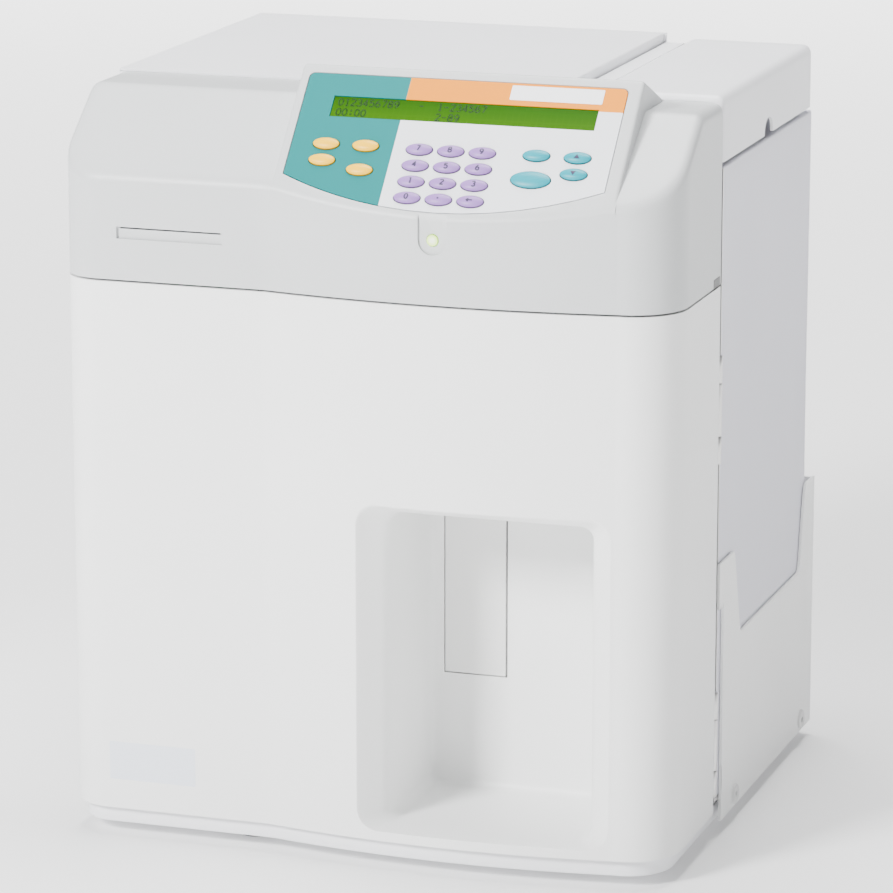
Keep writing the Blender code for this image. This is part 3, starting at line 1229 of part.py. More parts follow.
def make_main_board():
    """The main circuit board, stood off the left panel, with its larger chips."""
    board = box("main_board", (SHEET + BOARD_STAND, BOARD_FRONT, BOARD_LOW),
                (SHEET + BOARD_STAND + BOARD_THICKNESS, BOARD_REAR, BOARD_HIGH))
    for i, y in enumerate((BOARD_FRONT + BOARD_STAND, BOARD_REAR - BOARD_STAND)):
        for j, z in enumerate((BOARD_LOW + BOARD_STAND, BOARD_HIGH - BOARD_STAND)):
            join(board, rod("stand_" + str(i) + str(j), BOARD_STAND / 2, (SHEET + GAP, y, z),
                            (SHEET + BOARD_STAND + BOARD_THICKNESS / 2, y, z), SMALL_ROUND_SIDES))
    for i in range(CHIP_COUNT):
        share = (i + 1) / (CHIP_COUNT + 1)
        y = BOARD_FRONT + (BOARD_REAR - BOARD_FRONT) * share - CHIP_SIDE / 2
        z = BOARD_LOW + (BOARD_HIGH - BOARD_LOW) * share - CHIP_SIDE / 2
        chip = box("chip_" + str(i), (SHEET + BOARD_STAND + GAP, y, z),
                   (SHEET + BOARD_STAND + BOARD_THICKNESS + CHIP_HEIGHT, y + CHIP_SIDE, z + CHIP_SIDE))
        join(board, chip)
    return board


def make_power_supply():
    """The closed power supply on the base."""
    floor = FOOT_HEIGHT + BASE_FLOOR + GAP
    supply = box("power_supply", (SUPPLY_LEFT, SUPPLY_FRONT, floor),
                 (SUPPLY_LEFT + SUPPLY_WIDTH, SUPPLY_REAR, floor + SUPPLY_HEIGHT))
    return bevel(supply, SHEET, 1)


def fan_front():
    """How far back the fan's housing starts."""
    return BODY_REAR - SHEET - GAP - FAN_DEPTH


def make_fan_housing():
    """The square fan frame with a cross of struts and the pin that the rotor turns on."""
    front = fan_front()
    half = FAN_SIDE / 2
    ring = arc((FAN_X, FAN_Z), FAN_BORE, 0, 360 - 360 / ROUND_SIDES, ROUND_SIDES - 1)
    outer = rectangle(FAN_X - half, FAN_X + half, FAN_Z - half, FAN_Z + half)
    housing = outline_solid("fan_housing", [outer, ring], front, front + FAN_DEPTH, "XZ")
    strut = FAN_STRUT / 2
    reach = FAN_BORE + strut
    join(housing, box("fan_strut_across", (FAN_X - reach, front + GAP, FAN_Z - strut),
                      (FAN_X + reach, front + FAN_STRUT, FAN_Z + strut)))
    join(housing, box("fan_strut_up", (FAN_X - strut, front + GAP * 2, FAN_Z - reach),
                      (FAN_X + strut, front + FAN_STRUT - GAP, FAN_Z + reach)))
    pin = rod("fan_pin", FAN_BEARING, (FAN_X, front + FAN_STRUT / 2, FAN_Z),
              (FAN_X, front + FAN_DEPTH - FAN_REAR_ROOM, FAN_Z), SMALL_ROUND_SIDES)
    return join(housing, pin)


def make_fan_rotor():
    """The rotor: a hub bored for the pin, with pitched blades round it."""
    front = fan_front() + FAN_FRONT_ROOM
    rear = fan_front() + FAN_DEPTH - FAN_REAR_ROOM
    hub = rod("fan_rotor", FAN_HUB, (FAN_X, front, FAN_Z), (FAN_X, rear, FAN_Z))
    chord = rear - front - GAP * 2
    for i in range(FAN_BLADES):
        blade = box("blade_" + str(i), (FAN_HUB - FAN_BLADE, -FAN_BLADE / 2, -chord / 2),
                    (FAN_BLADE_TIP, FAN_BLADE / 2, chord / 2))
        pitch = Matrix.Rotation(math.radians(FAN_PITCH), 4, "X")
        upright = Matrix.Rotation(math.radians(90), 4, "X")
        around = Matrix.Rotation(2 * math.pi * i / FAN_BLADES, 4, "Y")
        place = Matrix.Translation((FAN_X, (front + rear) / 2, FAN_Z))
        blade.data.transform(place @ around @ upright @ pitch)
        join(hub, blade)
    cut(hub, rod("rotor_bore", FAN_BEARING + RUNNING_GAP, (FAN_X, front - OVERRUN, FAN_Z),
                 (FAN_X, rear + OVERRUN, FAN_Z), SMALL_ROUND_SIDES))
    return set_pivot(hub, (FAN_X, front, FAN_Z))


def rear_fitting(name, x, width, height, depth):
    """A block in a hole of the rear panel, with a lip behind the sheet."""
    face = BODY_REAR
    block = box(name, (x - width / 2, face - depth, INLET_Z - height / 2),
                (x + width / 2, face, INLET_Z + height / 2))
    half = width / 2 + INLET_LIP
    tall = height / 2 + INLET_LIP
    lip = box(name + "_lip", (x - half, face - depth + GAP, INLET_Z - tall),
              (x + half, face - SHEET - GAP, INLET_Z + tall))
    return join(block, lip)


def make_power_inlet():
    """The mains inlet in the rear panel."""
    inlet = rear_fitting("power_inlet", INLET_X, INLET_WIDTH, INLET_HEIGHT, INLET_DEPTH)
    half = INLET_SOCKET_WIDTH / 2
    tall = INLET_SOCKET_HEIGHT / 2
    return cut(inlet, box("inlet_socket", (INLET_X - half, BODY_REAR - INLET_SOCKET_DEPTH, INLET_Z - tall),
                          (INLET_X + half, BODY_REAR + OVERRUN, INLET_Z + tall)))


def make_interface_ports():
    """Three data sockets side by side in the rear panel."""
    ports = rear_fitting("interface_ports", PORTS_X, PORTS_WIDTH, PORTS_HEIGHT, PORT_DEPTH + INLET_LIP)
    pitch = PORTS_WIDTH / PORT_COUNT
    for i in range(PORT_COUNT):
        x = PORTS_X + pitch * (i - (PORT_COUNT - 1) / 2)
        socket = box("port_" + str(i), (x - PORT_WIDTH / 2, BODY_REAR - PORT_DEPTH, INLET_Z - PORT_TALL / 2),
                     (x + PORT_WIDTH / 2, BODY_REAR + OVERRUN, INLET_Z + PORT_TALL / 2))
        cut(ports, socket)
    return ports


def make_power_switch():
    """The rocker beside the inlet, at rest in its off position."""
    rear = BODY_REAR - SWITCH_SINK
    rocker = box("power_switch",
                 (SWITCH_X - SWITCH_WIDTH / 2, rear - SWITCH_DEPTH, INLET_Z - SWITCH_HEIGHT / 2),
                 (SWITCH_X + SWITCH_WIDTH / 2, rear, INLET_Z + SWITCH_HEIGHT / 2))
    pivot = (SWITCH_X, rear - SWITCH_DEPTH / 2, INLET_Z)
    set_pivot(rocker, pivot)
    rocker.data.transform(Matrix.Rotation(math.radians(SWITCH_TILT), 4, "X"))
    return rocker


def finish(pieces, look):
    """Give pieces their material and hold them all to the instrument's empty."""
    origin = bpy.data.objects["analyzer_origin"]
    for piece in pieces:
        piece.data.materials.clear()
        piece.data.materials.append(look)
        piece.parent = origin


def smooth(piece, angle):
    """Shade a piece smooth except along edges sharper than an angle in degrees."""
    piece.data.shade_smooth()
    piece.data.set_sharp_from_angle(angle=math.radians(angle))


def make_all():
    """Build every piece with its material."""
    grey = material("light_grey_shell", LIGHT_GREY, 0.45)
    white = material("white_shell", WHITE, 0.4)
    paint = material("lavender_paint", LAVENDER_WHITE, 0.5)
    steel = material("sheet_steel", STEEL, 0.35, 1.0)
    board = material("circuit_board", BOARD_GREEN, 0.5)
    dark = material("dark_plastic", DARK, 0.5)
    finish([make_console_cover()], grey)
    finish([make_front_cover(), make_press_plate()], white)
    finish([make_top_cover(), make_left_panel(), make_rear_panel(), make_cap_hinge_strip(), make_reagent_cap(),
            make_base_pan()], paint)
    finish([make_service_wall(), make_pack_carrier(), make_plate_bracket(), make_carriage_rail()], steel)
    finish([make_pack_pocket()], white)
    finish([make_reagent_pack()], material("lavender_card", LAVENDER_WHITE, 0.7))
    finish([make_keypad_panel()], material("panel_print", TEAL, 0.4))
    finish([make_keypad_board(), make_main_board()], board)
    finish([make_display_module()], material("display_green", GREEN, 0.2))
    finish([make_status_lens()], material("lamp_lens", LAMP_GREEN, 0.2))
    finish([make_card_reader(), make_needle_carriage(), make_valve_bank(), make_fan_housing(), make_fan_rotor(),
            make_power_inlet(), make_power_switch(), make_interface_ports()], dark)
    finish([make_sampling_needle(), make_power_supply()], steel)
    finish([make_counting_chambers(), make_syringe_block()], material("clear_plastic", CLEAR_GREY, 0.15))
    frame_leaves, door_leaves = make_hinges()
    finish(frame_leaves + door_leaves, steel)
    finish(make_feet(), material("rubber", DARK, 0.8))
    colours = {"number_key": PURPLE, "start_key": YELLOW, "command_key": CYAN}
    for key, kind in make_keys():
        finish([key], material(kind, colours[kind], 0.4))


def main():
    clear_scene()
    new_collection(PARTS)
    new_collection(CUTTERS)
    origin = bpy.data.objects.new("analyzer_origin", None)
    bpy.data.collections[PARTS].objects.link(origin)
    origin.location = (-(BODY_WIDTH + SHEET / 2) / 2, -(BODY_REAR - BULGE_DEPTH) / 2, 0)
    make_all()
    for tool in bpy.data.collections[CUTTERS].objects:
        tool.parent = origin
    for piece in bpy.data.collections[PARTS].objects:
        if piece.type == "MESH":
            smooth(piece, SMOOTH_ANGLE)


main()
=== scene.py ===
"""Looks of the bench-top blood cell analyzer, laid out as an add-on and run as a script."""
import json
import math

import bmesh
import bpy
import numpy as np
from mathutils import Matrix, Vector


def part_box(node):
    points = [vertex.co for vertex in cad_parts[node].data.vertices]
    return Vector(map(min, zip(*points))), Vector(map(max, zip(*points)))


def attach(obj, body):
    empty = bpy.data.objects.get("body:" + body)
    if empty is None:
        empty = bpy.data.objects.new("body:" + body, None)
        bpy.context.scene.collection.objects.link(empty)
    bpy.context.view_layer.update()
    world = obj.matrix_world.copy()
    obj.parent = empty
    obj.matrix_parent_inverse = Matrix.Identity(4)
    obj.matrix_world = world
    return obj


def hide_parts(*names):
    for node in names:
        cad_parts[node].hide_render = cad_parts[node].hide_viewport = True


bl_info = {
    "name": "Blood cell analyzer looks",
    "version": (1, 0, 0),
    "blender": (4, 5, 0),
    "location": "3D View > Sidebar > Analyzer",
    "description": "Builds the visible surfaces, materials, light and camera of a bench-top blood cell analyzer",
    "category": "Object",
}

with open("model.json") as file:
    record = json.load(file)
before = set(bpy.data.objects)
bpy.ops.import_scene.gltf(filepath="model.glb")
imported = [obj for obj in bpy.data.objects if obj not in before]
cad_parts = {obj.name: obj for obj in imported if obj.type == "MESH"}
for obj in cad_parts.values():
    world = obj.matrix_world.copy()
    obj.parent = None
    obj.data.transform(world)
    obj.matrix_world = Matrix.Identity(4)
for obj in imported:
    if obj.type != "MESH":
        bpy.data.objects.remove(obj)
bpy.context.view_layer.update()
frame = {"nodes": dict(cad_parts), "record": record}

WELD = 2e-6
HALF_TURN = math.pi


def shift():
    """From lengths counted from the left side and the flat front to the frame's own axes."""
    low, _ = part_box("front_cover")
    return np.array([low.x, low.y + sizes().bulge, 0.0])


def sizes():
    return bpy.context.scene.analyzer_sizes


def colours():
    return bpy.context.scene.analyzer_colours


def patch(points, flip=False):
    """The points of a two-parameter grid with the quads between neighbours."""
    rows, columns = points.shape[:2]
    index = np.arange(rows * columns).reshape(rows, columns)
    quads = np.stack([index[:-1, :-1], index[:-1, 1:], index[1:, 1:], index[1:, :-1]], axis=-1).reshape(-1, 4)
    return points.reshape(-1, 3), quads[:, ::-1] if flip else quads


def surface(name, patches, closed=True, sharp=40.0):
    """One mesh from grids: points nearer than the weld length become one, so seams and poles close."""
    points = np.concatenate([part for part, _ in patches])
    starts = np.cumsum([0] + [len(part) for part, _ in patches[:-1]])
    quads = np.concatenate([part + start for (_, part), start in zip(patches, starts)])
    cells = np.round(points / WELD).astype(np.int64)
    _, first, back = np.unique(cells, axis=0, return_index=True, return_inverse=True)
    merged = back.reshape(-1)[quads]
    polygons = [tuple(dict.fromkeys(quad)) for quad in merged.tolist()]
    polygons = [polygon for polygon in polygons if len(polygon) > 2]
    mesh = bpy.data.meshes.new(name)
    mesh.from_pydata(points[first].tolist(), [], polygons)
    mesh.update()
    if closed:
        face_outwards(mesh)
    mesh.shade_smooth()
    mesh.set_sharp_from_angle(angle=math.radians(sharp))
    made = bpy.data.objects.new(name, mesh)
    bpy.context.scene.collection.objects.link(made)
    return made


def face_outwards(mesh):
    """Turn every face of a closed mesh outwards."""
    shape = bmesh.new()
    shape.from_mesh(mesh)
    bmesh.ops.recalc_face_normals(shape, faces=shape.faces)
    shape.to_mesh(mesh)
    shape.free()


def bend(start, knee, end, steps):
    """A quadratic Bezier from start to end with its control point at the knee, along a new first axis."""
    t = np.linspace(0.0, 1.0, steps + 1).reshape((-1,) + (1,) * start.ndim)
    return (1 - t) ** 2 * start + 2 * t * (1 - t) * knee + t ** 2 * end


def line(start, end, steps):
    """Straight steps from start to end along a new first axis."""
    t = np.linspace(0.0, 1.0, steps + 1).reshape((-1,) + (1,) * start.ndim)
    return (1 - t) * start + t * end


def turned_corners(knots, radii, steps):
    """Rows through knots, each a whole curve of points, with every inner knot rounded off by a Bezier.

    radii says how far from a knot its bend starts; the bend never takes more than half of a leg.
    """
    rows = [knots[0][None]]
    last = knots[0]
    for before, knot, after, reach in zip(knots, knots[1:], knots[2:], radii):
        back = before - knot
        ahead = after - knot
        long_back = np.linalg.norm(back, axis=-1, keepdims=True) + WELD
        long_ahead = np.linalg.norm(ahead, axis=-1, keepdims=True) + WELD
        share_back = np.minimum(reach / long_back, 0.5)
        share_ahead = np.minimum(reach / long_ahead, 0.5)
        start = knot + back * share_back
        end = knot + ahead * share_ahead
        rows.append(line(last, start, steps)[1:])
        rows.append(bend(start, knot, end, steps)[1:])
        last = end
    rows.append(line(last, knots[-1], steps)[1:])
    return np.concatenate(rows)


def rounded_ring(left, right, low, high, radius, side_steps, arc_steps):
    """A rounded rectangle as points anticlockwise from the middle of its lower left corner.

    Each side runs from the middle of one corner's arc to the middle of the next and has equally many points.
    """
    centres = [(left + radius, low + radius), (right - radius, low + radius),
               (right - radius, high - radius), (left + radius, high - radius)]
    points = []
    for side in range(4):
        start = math.radians(225 + 90 * side)
        first = np.linspace(start, start + HALF_TURN / 4, arc_steps + 1)
        second = np.linspace(start + HALF_TURN / 4, start + HALF_TURN / 2, arc_steps + 1)
        here = np.array(centres[side])
        there = np.array(centres[(side + 1) % 4])
        opening = here + radius * np.stack([np.cos(first), np.sin(first)], axis=-1)
        closing = there + radius * np.stack([np.cos(second), np.sin(second)], axis=-1)
        middle = line(opening[-1], closing[0], side_steps)[1:-1]
        points.append(np.concatenate([opening, middle, closing[:-1]]))
    return np.concatenate(points)


def even_ring(left, right, low, high, per_side):
    """A sharp rectangle with evenly spaced points, in the same order as the rounded one."""
    corners = np.array([(left, low), (right, low), (right, high), (left, high)])
    return np.concatenate([line(corners[i], corners[(i + 1) % 4], per_side)[:-1] for i in range(4)])


def front_depth(x):
    """How far back the front stands at each x: flat, then a circular bulge from the crease onwards.

    The crease is eased by a parabola over a short width that leaves the flat and meets the circle's slope.
    """
    s = sizes()
    reach = s.bulge_middle - s.bulge_left
    radius = (reach ** 2 + s.bulge ** 2) / (2 * s.bulge)
    circle = radius - s.bulge - np.sqrt(radius ** 2 - (x - s.bulge_middle) ** 2)
    ease = s.crease_ease
    slope = reach / math.sqrt(radius ** 2 - reach ** 2)
    eased = -slope * (x - s.bulge_left + ease) ** 2 / (4 * ease)
    depth = np.where(x > s.bulge_left + ease, circle, eased)
    return np.where(x < s.bulge_left - ease, 0.0, depth)


def corner_points(side, steps):
    """Centre, radius and angles of a plan corner: the left one or the right one."""
    s = sizes()
    if side == "left":
        return np.array([s.left_corner, s.left_corner]), s.left_corner, np.linspace(HALF_TURN, HALF_TURN * 1.5, steps + 1)
    x = s.width - s.right_corner
    y = float(front_depth(np.array(x))) + s.right_corner
    return np.array([x, y]), s.right_corner, np.linspace(-HALF_TURN / 2, 0, steps + 1)


def plan_left(rear, until):
    """Plan points from the left side's rear edge round the corner and along the front to an x."""
    s = sizes()
    centre, radius, angles = corner_points("left", 14)
    side = line(np.array([0.0, rear]), np.array([0.0, radius]), 10)[:-1]
    turn = centre + radius * np.stack([np.cos(angles), np.sin(angles)], axis=-1)
    x = np.concatenate([np.linspace(radius, s.bulge_left - s.crease_ease, 16)[1:],
                        np.linspace(s.bulge_left - s.crease_ease, s.bulge_left + s.crease_ease, 9)[1:],
                        np.linspace(s.bulge_left + s.crease_ease, until, 8)[1:]])
    return np.concatenate([side, turn, np.stack([x, front_depth(x)], axis=-1)])


def plan_right(rear):
    """Plan points from the start of the right corner to the right side's rear edge."""
    centre, radius, angles = corner_points("right", 14)
    turn = centre + radius * np.stack([np.cos(angles), np.sin(angles)], axis=-1)
    side = line(turn[-1], np.array([sizes().width, rear]), 10)[1:]
    return np.concatenate([turn, side])


def wall_between(plan, levels):
    """An upright wall: plan points across, heights up."""
    across = np.repeat(plan[None], len(levels), axis=0)
    up = np.repeat(levels[:, None, None], plan.shape[0], axis=1)
    return np.concatenate([across, up], axis=-1)


def upright(flat, depth):
    """Points of a flat (x, z) curve stood up at a depth."""
    return np.stack([flat[:, 0], np.broadcast_to(depth, flat[:, 0].shape), flat[:, 1]], axis=-1)


def cover_walls(rear, start, levels, wall):
    """The cover's upright sides, moved inwards by a wall."""
    left = plan_left(rear, start)
    right = plan_right(rear)
    left = wall_between(moved_in(left, wall), levels)
    right = wall_between(moved_in(right, wall), levels)
    return left, right


def moved_in(plan, wall, first=None, last=None):
    """A plan path moved to its inner side along its own normals; the end normals can be given."""
    way = np.gradient(plan, axis=0)
    way /= np.linalg.norm(way, axis=1, keepdims=True)
    normal = np.stack([-way[:, 1], way[:, 0]], axis=-1)
    normal[0] = (1.0, 0.0) if plan[0, 0] < plan[-1, 0] - 0.05 else (0.0, 1.0)
    normal[-1] = (0.0, 1.0) if plan[0, 0] < plan[-1, 0] - 0.05 else (-1.0, 0.0)
    normal[0] = normal[0] if first is None else first
    normal[-1] = normal[-1] if last is None else last
    return plan + normal * wall


def cover_rings(bottom, top, start, wall):
    """Rings from the cover's outer rectangle to the recess mouth, over the bevel and in to the rear's middle."""
    s = sizes()
    per_side, arc_steps = 48, 7
    side_steps = per_side - 2 * arc_steps
    outer = even_ring(start, s.width - s.right_corner, bottom, top, per_side)
    mouth = rounded_ring(s.recess_left - wall, s.recess_right + wall / 3, s.recess_bottom - wall, s.recess_top + wall,
                         s.mouth_corner, side_steps, arc_steps)
    lip = rounded_ring(s.recess_left + s.bevel - wall, s.recess_right - s.bevel + wall, s.recess_floor - wall,
                       s.recess_top - s.top_bevel + wall, s.recess_corner, side_steps, arc_steps)
    t = 1 - (1 - np.linspace(0, 1, 26)[:, None, None]) ** 1.3
    flat = (1 - t) * outer + t * (mouth + (outer - mouth) * 0.02)
    front = np.stack([flat[..., 0], front_depth(flat[..., 0]) + wall, flat[..., 1]], axis=-1)
    middle = lip.mean(axis=0)
    rear = s.recess_rear + wall
    knots = [front[-1], upright(mouth, front_depth(mouth[:, 0]) + wall), upright(lip, s.lip), upright(lip, rear),
             upright(middle + (lip - middle) * 0.1, rear), upright(middle + 0 * lip, rear)]
    well = turned_corners(knots, [0.0022, 0.005, s.rear_fillet, 0.001], 6)
    rings = np.concatenate([front, well[1:]])
    return np.concatenate([rings, rings[:, :1]], axis=1)


def joined_edges(outer, inner):
    """The strips that close a shell: its outer and inner grids' edges joined side by side."""
    return [patch(np.stack([outer_edge, inner_edge])) for outer_edge, inner_edge in zip(outer, inner)]


def make_front_cover():
    """Front cover: rings run from the cover's outer rectangle over the bulged front to the recess mouth.

    Each radial line goes on over the bevel to the lip, along the well to its rear and in to the middle, with
    every knee eased by a quadratic curve. The sides are upright walls along the plan's own path, and the inner
    surface is the same formula moved in by the wall.
    """
    s = sizes()
    low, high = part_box("front_cover")
    bottom, top, rear = low.z, high.z, s.cover_rear
    start = s.bulge_left + 0.022
    levels = np.linspace(bottom, top, 49)
    grids, edges = [], []
    for wall in (0.0, s.cover_wall):
        left, right = cover_walls(rear, start, levels, wall)
        rings = cover_rings(bottom, top, start, wall)
        grids += [rings, left, right]
        sill, lintel = rings[0, :49], rings[0, 96:145]
        edges.append([left[:, 0], right[:, -1], left[0], left[-1], right[0], right[-1], sill, lintel])
    patches = [patch(grid + shift()) for grid in grids]
    patches += [patch(np.stack([a, b]) + shift()) for a, b in zip(*edges)]
    cover = surface("front_cover_shell", patches)
    opening = cutter_box((s.plate_left, s.recess_rear - 0.003, s.plate_bottom), (s.plate_right, s.recess_rear + 0.008, s.plate_top))
    needle = cutter_round((s.needle_x, s.needle_y, s.recess_top - s.top_bevel - 0.004),
                          (s.needle_x, s.needle_y, s.recess_top - s.top_bevel + 0.007), 0.0045)
    carve(cover, [opening, needle])
    soften(cover, 0.0007)
    finish_piece(cover, "white_shell", "analyzer", ["front_cover"])


def soften(piece, width, segments=2, angle=55):
    """Round the edges that are sharper than an angle."""
    modifier = piece.modifiers.new("edge", "BEVEL")
    modifier.width = width
    modifier.segments = segments
    modifier.limit_method = "ANGLE"
    modifier.angle_limit = math.radians(angle)
    modifier.harden_normals = False


def bake(piece):
    """Write a piece's modifiers into its mesh."""
    bpy.context.view_layer.update()
    graph = bpy.context.evaluated_depsgraph_get()
    mesh = bpy.data.meshes.new_from_object(piece.evaluated_get(graph))
    mesh.name = piece.name
    piece.modifiers.clear()
    piece.data = mesh


def cutter_box(low, high):
    """A box tool between two corners given in the body's own lengths."""
    low, high = np.array(low) + shift(), np.array(high) + shift()
    corners = np.array([[(low[0], low[1]), (high[0], low[1]), (high[0], high[1]), (low[0], high[1]), (low[0], low[1])]] * 4)
    centre = (low[:2] + high[:2]) / 2
    corners[0] = corners[3] = centre
    heights = np.array([low[2], low[2], high[2], high[2]])
    rings = np.concatenate([corners, np.repeat(heights[:, None, None], 5, axis=1)], axis=-1)
    return surface("tool", [patch(rings)])


def cutter_round(start, end, radius):
    """A round bar tool between two points given in the body's own lengths."""
    profile = np.array([(0.0, 0.0), (radius, 0.0), (radius, 1.0), (0.0, 1.0)])
    return revolve("tool", np.array(start) + shift(), np.array(end) + shift(), profile, 32)


def revolve(name, start, end, profile, around=48):
    """A surface of revolution: profile rows are (radius, share of the way from start to end)."""
    axis = end - start
    way = axis / np.linalg.norm(axis)
    aside = np.cross(way, (0.0, 0.0, 1.0) if abs(way[2]) < 0.9 else (1.0, 0.0, 0.0))
    aside /= np.linalg.norm(aside)
    across = np.cross(way, aside)
    angles = np.linspace(0, 2 * HALF_TURN, around + 1)
    round_way = np.cos(angles)[:, None] * aside + np.sin(angles)[:, None] * across
    round_way[-1] = round_way[0]
    rings = start + profile[:, 1, None, None] * axis + profile[:, 0, None, None] * round_way
    return surface(name, [patch(rings)])


def carve(piece, tools):
    """Cut openings that a grid can't carry: the tools are taken away from the piece and removed."""
    for tool in tools:
        modifier = piece.modifiers.new("opening", "BOOLEAN")
        modifier.operation = "DIFFERENCE"
        modifier.solver = "EXACT"
        modifier.object = tool
    bake(piece)
    for tool in tools:
        bpy.data.objects.remove(tool, do_unlink=True)


def finish_piece(piece, slot, body, replaced=(), named=None):
    """Material, body, slot and the CAD nodes that a piece stands for."""
    piece.data.materials.clear()
    piece.data.materials.append(look(named or slot))
    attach(piece, body)
    if replaced:
        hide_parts(*replaced)
    return piece


def eased_lower(first, second, ease):
    """The lower of two heights, with a smooth hand-over where they are nearer than the ease."""
    apart = np.abs(first - second)
    return np.minimum(first, second) - np.maximum(ease - apart, 0) ** 2 / (4 * ease)


def wing_height(y):
    """The wings from the side: a slope from the crease line up to the flat strip."""
    s = sizes()
    rise = (s.strip_height - s.crease_height) / s.strip_front
    return eased_lower(s.crease_height + rise * y, np.full_like(y, s.strip_height), 0.0025)


def hood_height(y):
    """The hood from the side: a steeper slope with the panel, then a fall to the strip's rear edge."""
    s = sizes()
    rise = (s.hood_height - s.crease_height) / s.strip_front
    fall = (s.hood_height - s.strip_height) / (s.cover_rear - s.strip_front)
    return eased_lower(s.crease_height + rise * y, s.hood_height - fall * (y - s.strip_front), 0.0014)


def console_height(y, drop):
    """Top of the console: the hood lowered by a drop, but never below the wings."""
    wing = wing_height(y)
    hood = hood_height(y)
    share = np.clip(1 - drop / 0.004, 0, 1)
    return np.where(hood >= wing, np.maximum(wing, hood - drop), wing + (hood - wing) * share)


def hood_side_columns(x, toward, wall):
    """Columns over one side wall of the hood: foot, wall and rounded top, as (x, drop) rows."""
    s = sizes()
    radius = s.hood_edge
    angles = np.linspace(0, HALF_TURN / 2, 6)
    x = x + toward * wall
    edge = [(x + toward * radius * (1 - math.cos(a)), radius * (1 - math.sin(a))) for a in angles]
    foot = [(x - toward * 0.0012, 1.0), (x - toward * 0.0005, 1.0), (x - toward * 0.0002, 1.0)]
    upright_rows = [(x - toward * lean, drop) for lean, drop in ((0.00015, 0.016), (0.0001, 0.010), (0.00005, 0.006))]
    return foot + upright_rows + edge


def console_columns(wall):
    """Every column across the top: (x, drop), from the left corner's end to the right corner's start."""
    s = sizes()
    left = hood_side_columns(s.hood_left, 1, wall)
    right = hood_side_columns(s.hood_right, -1, wall)[::-1]
    flat = [(x, 1.0) for x in np.linspace(s.left_corner, s.bulge_left - s.crease_ease, 16)[1:]]
    crease = [(x, 1.0) for x in np.linspace(s.bulge_left - s.crease_ease, left[0][0], 8)[1:-1]]
    hood = [(x, 0.0) for x in np.linspace(left[-1][0], right[0][0], 42)[1:-1]]
    end = s.width - s.right_corner
    wing = [(x, 1.0) for x in np.linspace(right[-1][0], end, 3)[1:-1]]
    return np.array(flat + crease + left + hood + right + wing + [(end, 1.0)])


def console_fronts(wall):
    """For each column: the sharp front point, the point where its top starts, and its drop."""
    s = sizes()
    columns = console_columns(wall)
    x, drop = columns[:, 0], columns[:, 1]
    front = np.stack([x, front_depth(x) + wall], axis=-1)
    shoulder = np.where(drop < 0.5, s.hood_shoulder, s.shoulder)[:, None]
    inset = front + shoulder * np.array([0.0, 1.0])
    parts = []
    for side in ("left", "right"):
        centre, radius, angles = corner_points(side, 14)
        way = np.stack([np.cos(angles), np.sin(angles)], axis=-1)
        share = np.abs(np.cos(angles))[:, None]
        reach = s.shoulder + (s.side_shoulder - s.shoulder) * share
        parts.append((centre + (radius - wall) * way, centre + (radius - wall - reach) * way, np.ones(len(angles))))
    (left_edge, left_in, left_drop), (right_edge, right_in, right_drop) = parts
    edge = np.concatenate([left_edge, front[:-1], right_edge])
    start = np.concatenate([left_in, inset[:-1], right_in])
    return edge, start, np.concatenate([left_drop, drop[:-1], right_drop])


def console_rows(start):
    """Depths from where the top starts to the rear, with rows gathered at the ridge."""
    s = sizes()
    ridge = s.strip_front
    near = np.linspace(0, 1, 15)[:, None] * (ridge - 0.003 - start) + start
    over = np.linspace(ridge - 0.003, ridge + 0.003, 9)[1:, None] + 0 * start
    far = np.linspace(ridge + 0.003, s.cover_rear, 11)[1:, None] + 0 * start
    return np.concatenate([near, over, far])


def lifted(points, drop, wall):
    """Flat points raised to the console's top, less the wall's thickness."""
    return np.concatenate([points, console_height(points[..., 1], drop)[..., None] - wall], axis=-1)


def rim(edge, start, drop, bottom, wall):
    """Rows from the cover's lower edge up the wall and over the shoulder to where the top starts."""
    sharp = lifted(edge, drop, wall)
    top = lifted(start, drop, wall)
    reach = np.linalg.norm(start - edge, axis=-1, keepdims=True)
    below = sharp - reach * np.array([0.0, 0.0, 1.0])
    foot = np.concatenate([edge, np.full(edge.shape[:-1] + (1,), bottom)], axis=-1)
    return np.concatenate([line(foot, below, 10)[:-1], bend(below, sharp, top, 7)])


def console_grids(bottom, wall):
    """Front rim, top and two side rims of the console, moved inwards by a wall."""
    edge, start, drop = console_fronts(wall)
    depths = console_rows(start[:, 1])
    top = np.stack([np.broadcast_to(start[:, 0], depths.shape), depths], axis=-1)
    top = lifted(top, np.broadcast_to(drop, depths.shape), wall)
    grids = [rim(edge, start, drop, bottom, wall), top]
    for column, side in ((0, wall), (-1, sizes().width - wall)):
        inner = top[:, column]
        outer = np.stack([np.full(len(inner), side), inner[:, 1]], axis=-1)
        outer[0] = edge[column]
        grids.append(rim(outer, inner[:, :2], np.ones(len(inner)), bottom, wall))
    return grids


def make_console_cover():
    """Console cover: a height over the plan, max(wing, hood - drop), with columns from front to rear.

    The rim carries the wall over the shoulder by quadratic curves, and the inner surface is the same formula
    moved in by the wall. The panel's seat and window, the card slot and the lamp's place are cut afterwards,
    since they cross the grid's lines.
    """
    s = sizes()
    low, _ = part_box("console_cover")
    bottom = low.z + s.seam_gap
    outer = console_grids(bottom, 0.0)
    inner = console_grids(bottom, s.cover_wall)
    edges = []
    for front, top, left, right in (outer, inner):
        edges.append([front[0], left[0], right[0], left[:, -1], top[-1], right[:, -1]])
    patches = [patch(grid + shift()) for grid in outer + inner]
    patches += [patch(np.stack([a, b]) + shift()) for a, b in zip(*edges)]
    cover = surface("console_cover_shell", patches)
    carve(cover, console_tools())
    soften(cover, 0.0005)
    finish_piece(cover, "light_grey_shell", "analyzer", ["console_cover"])


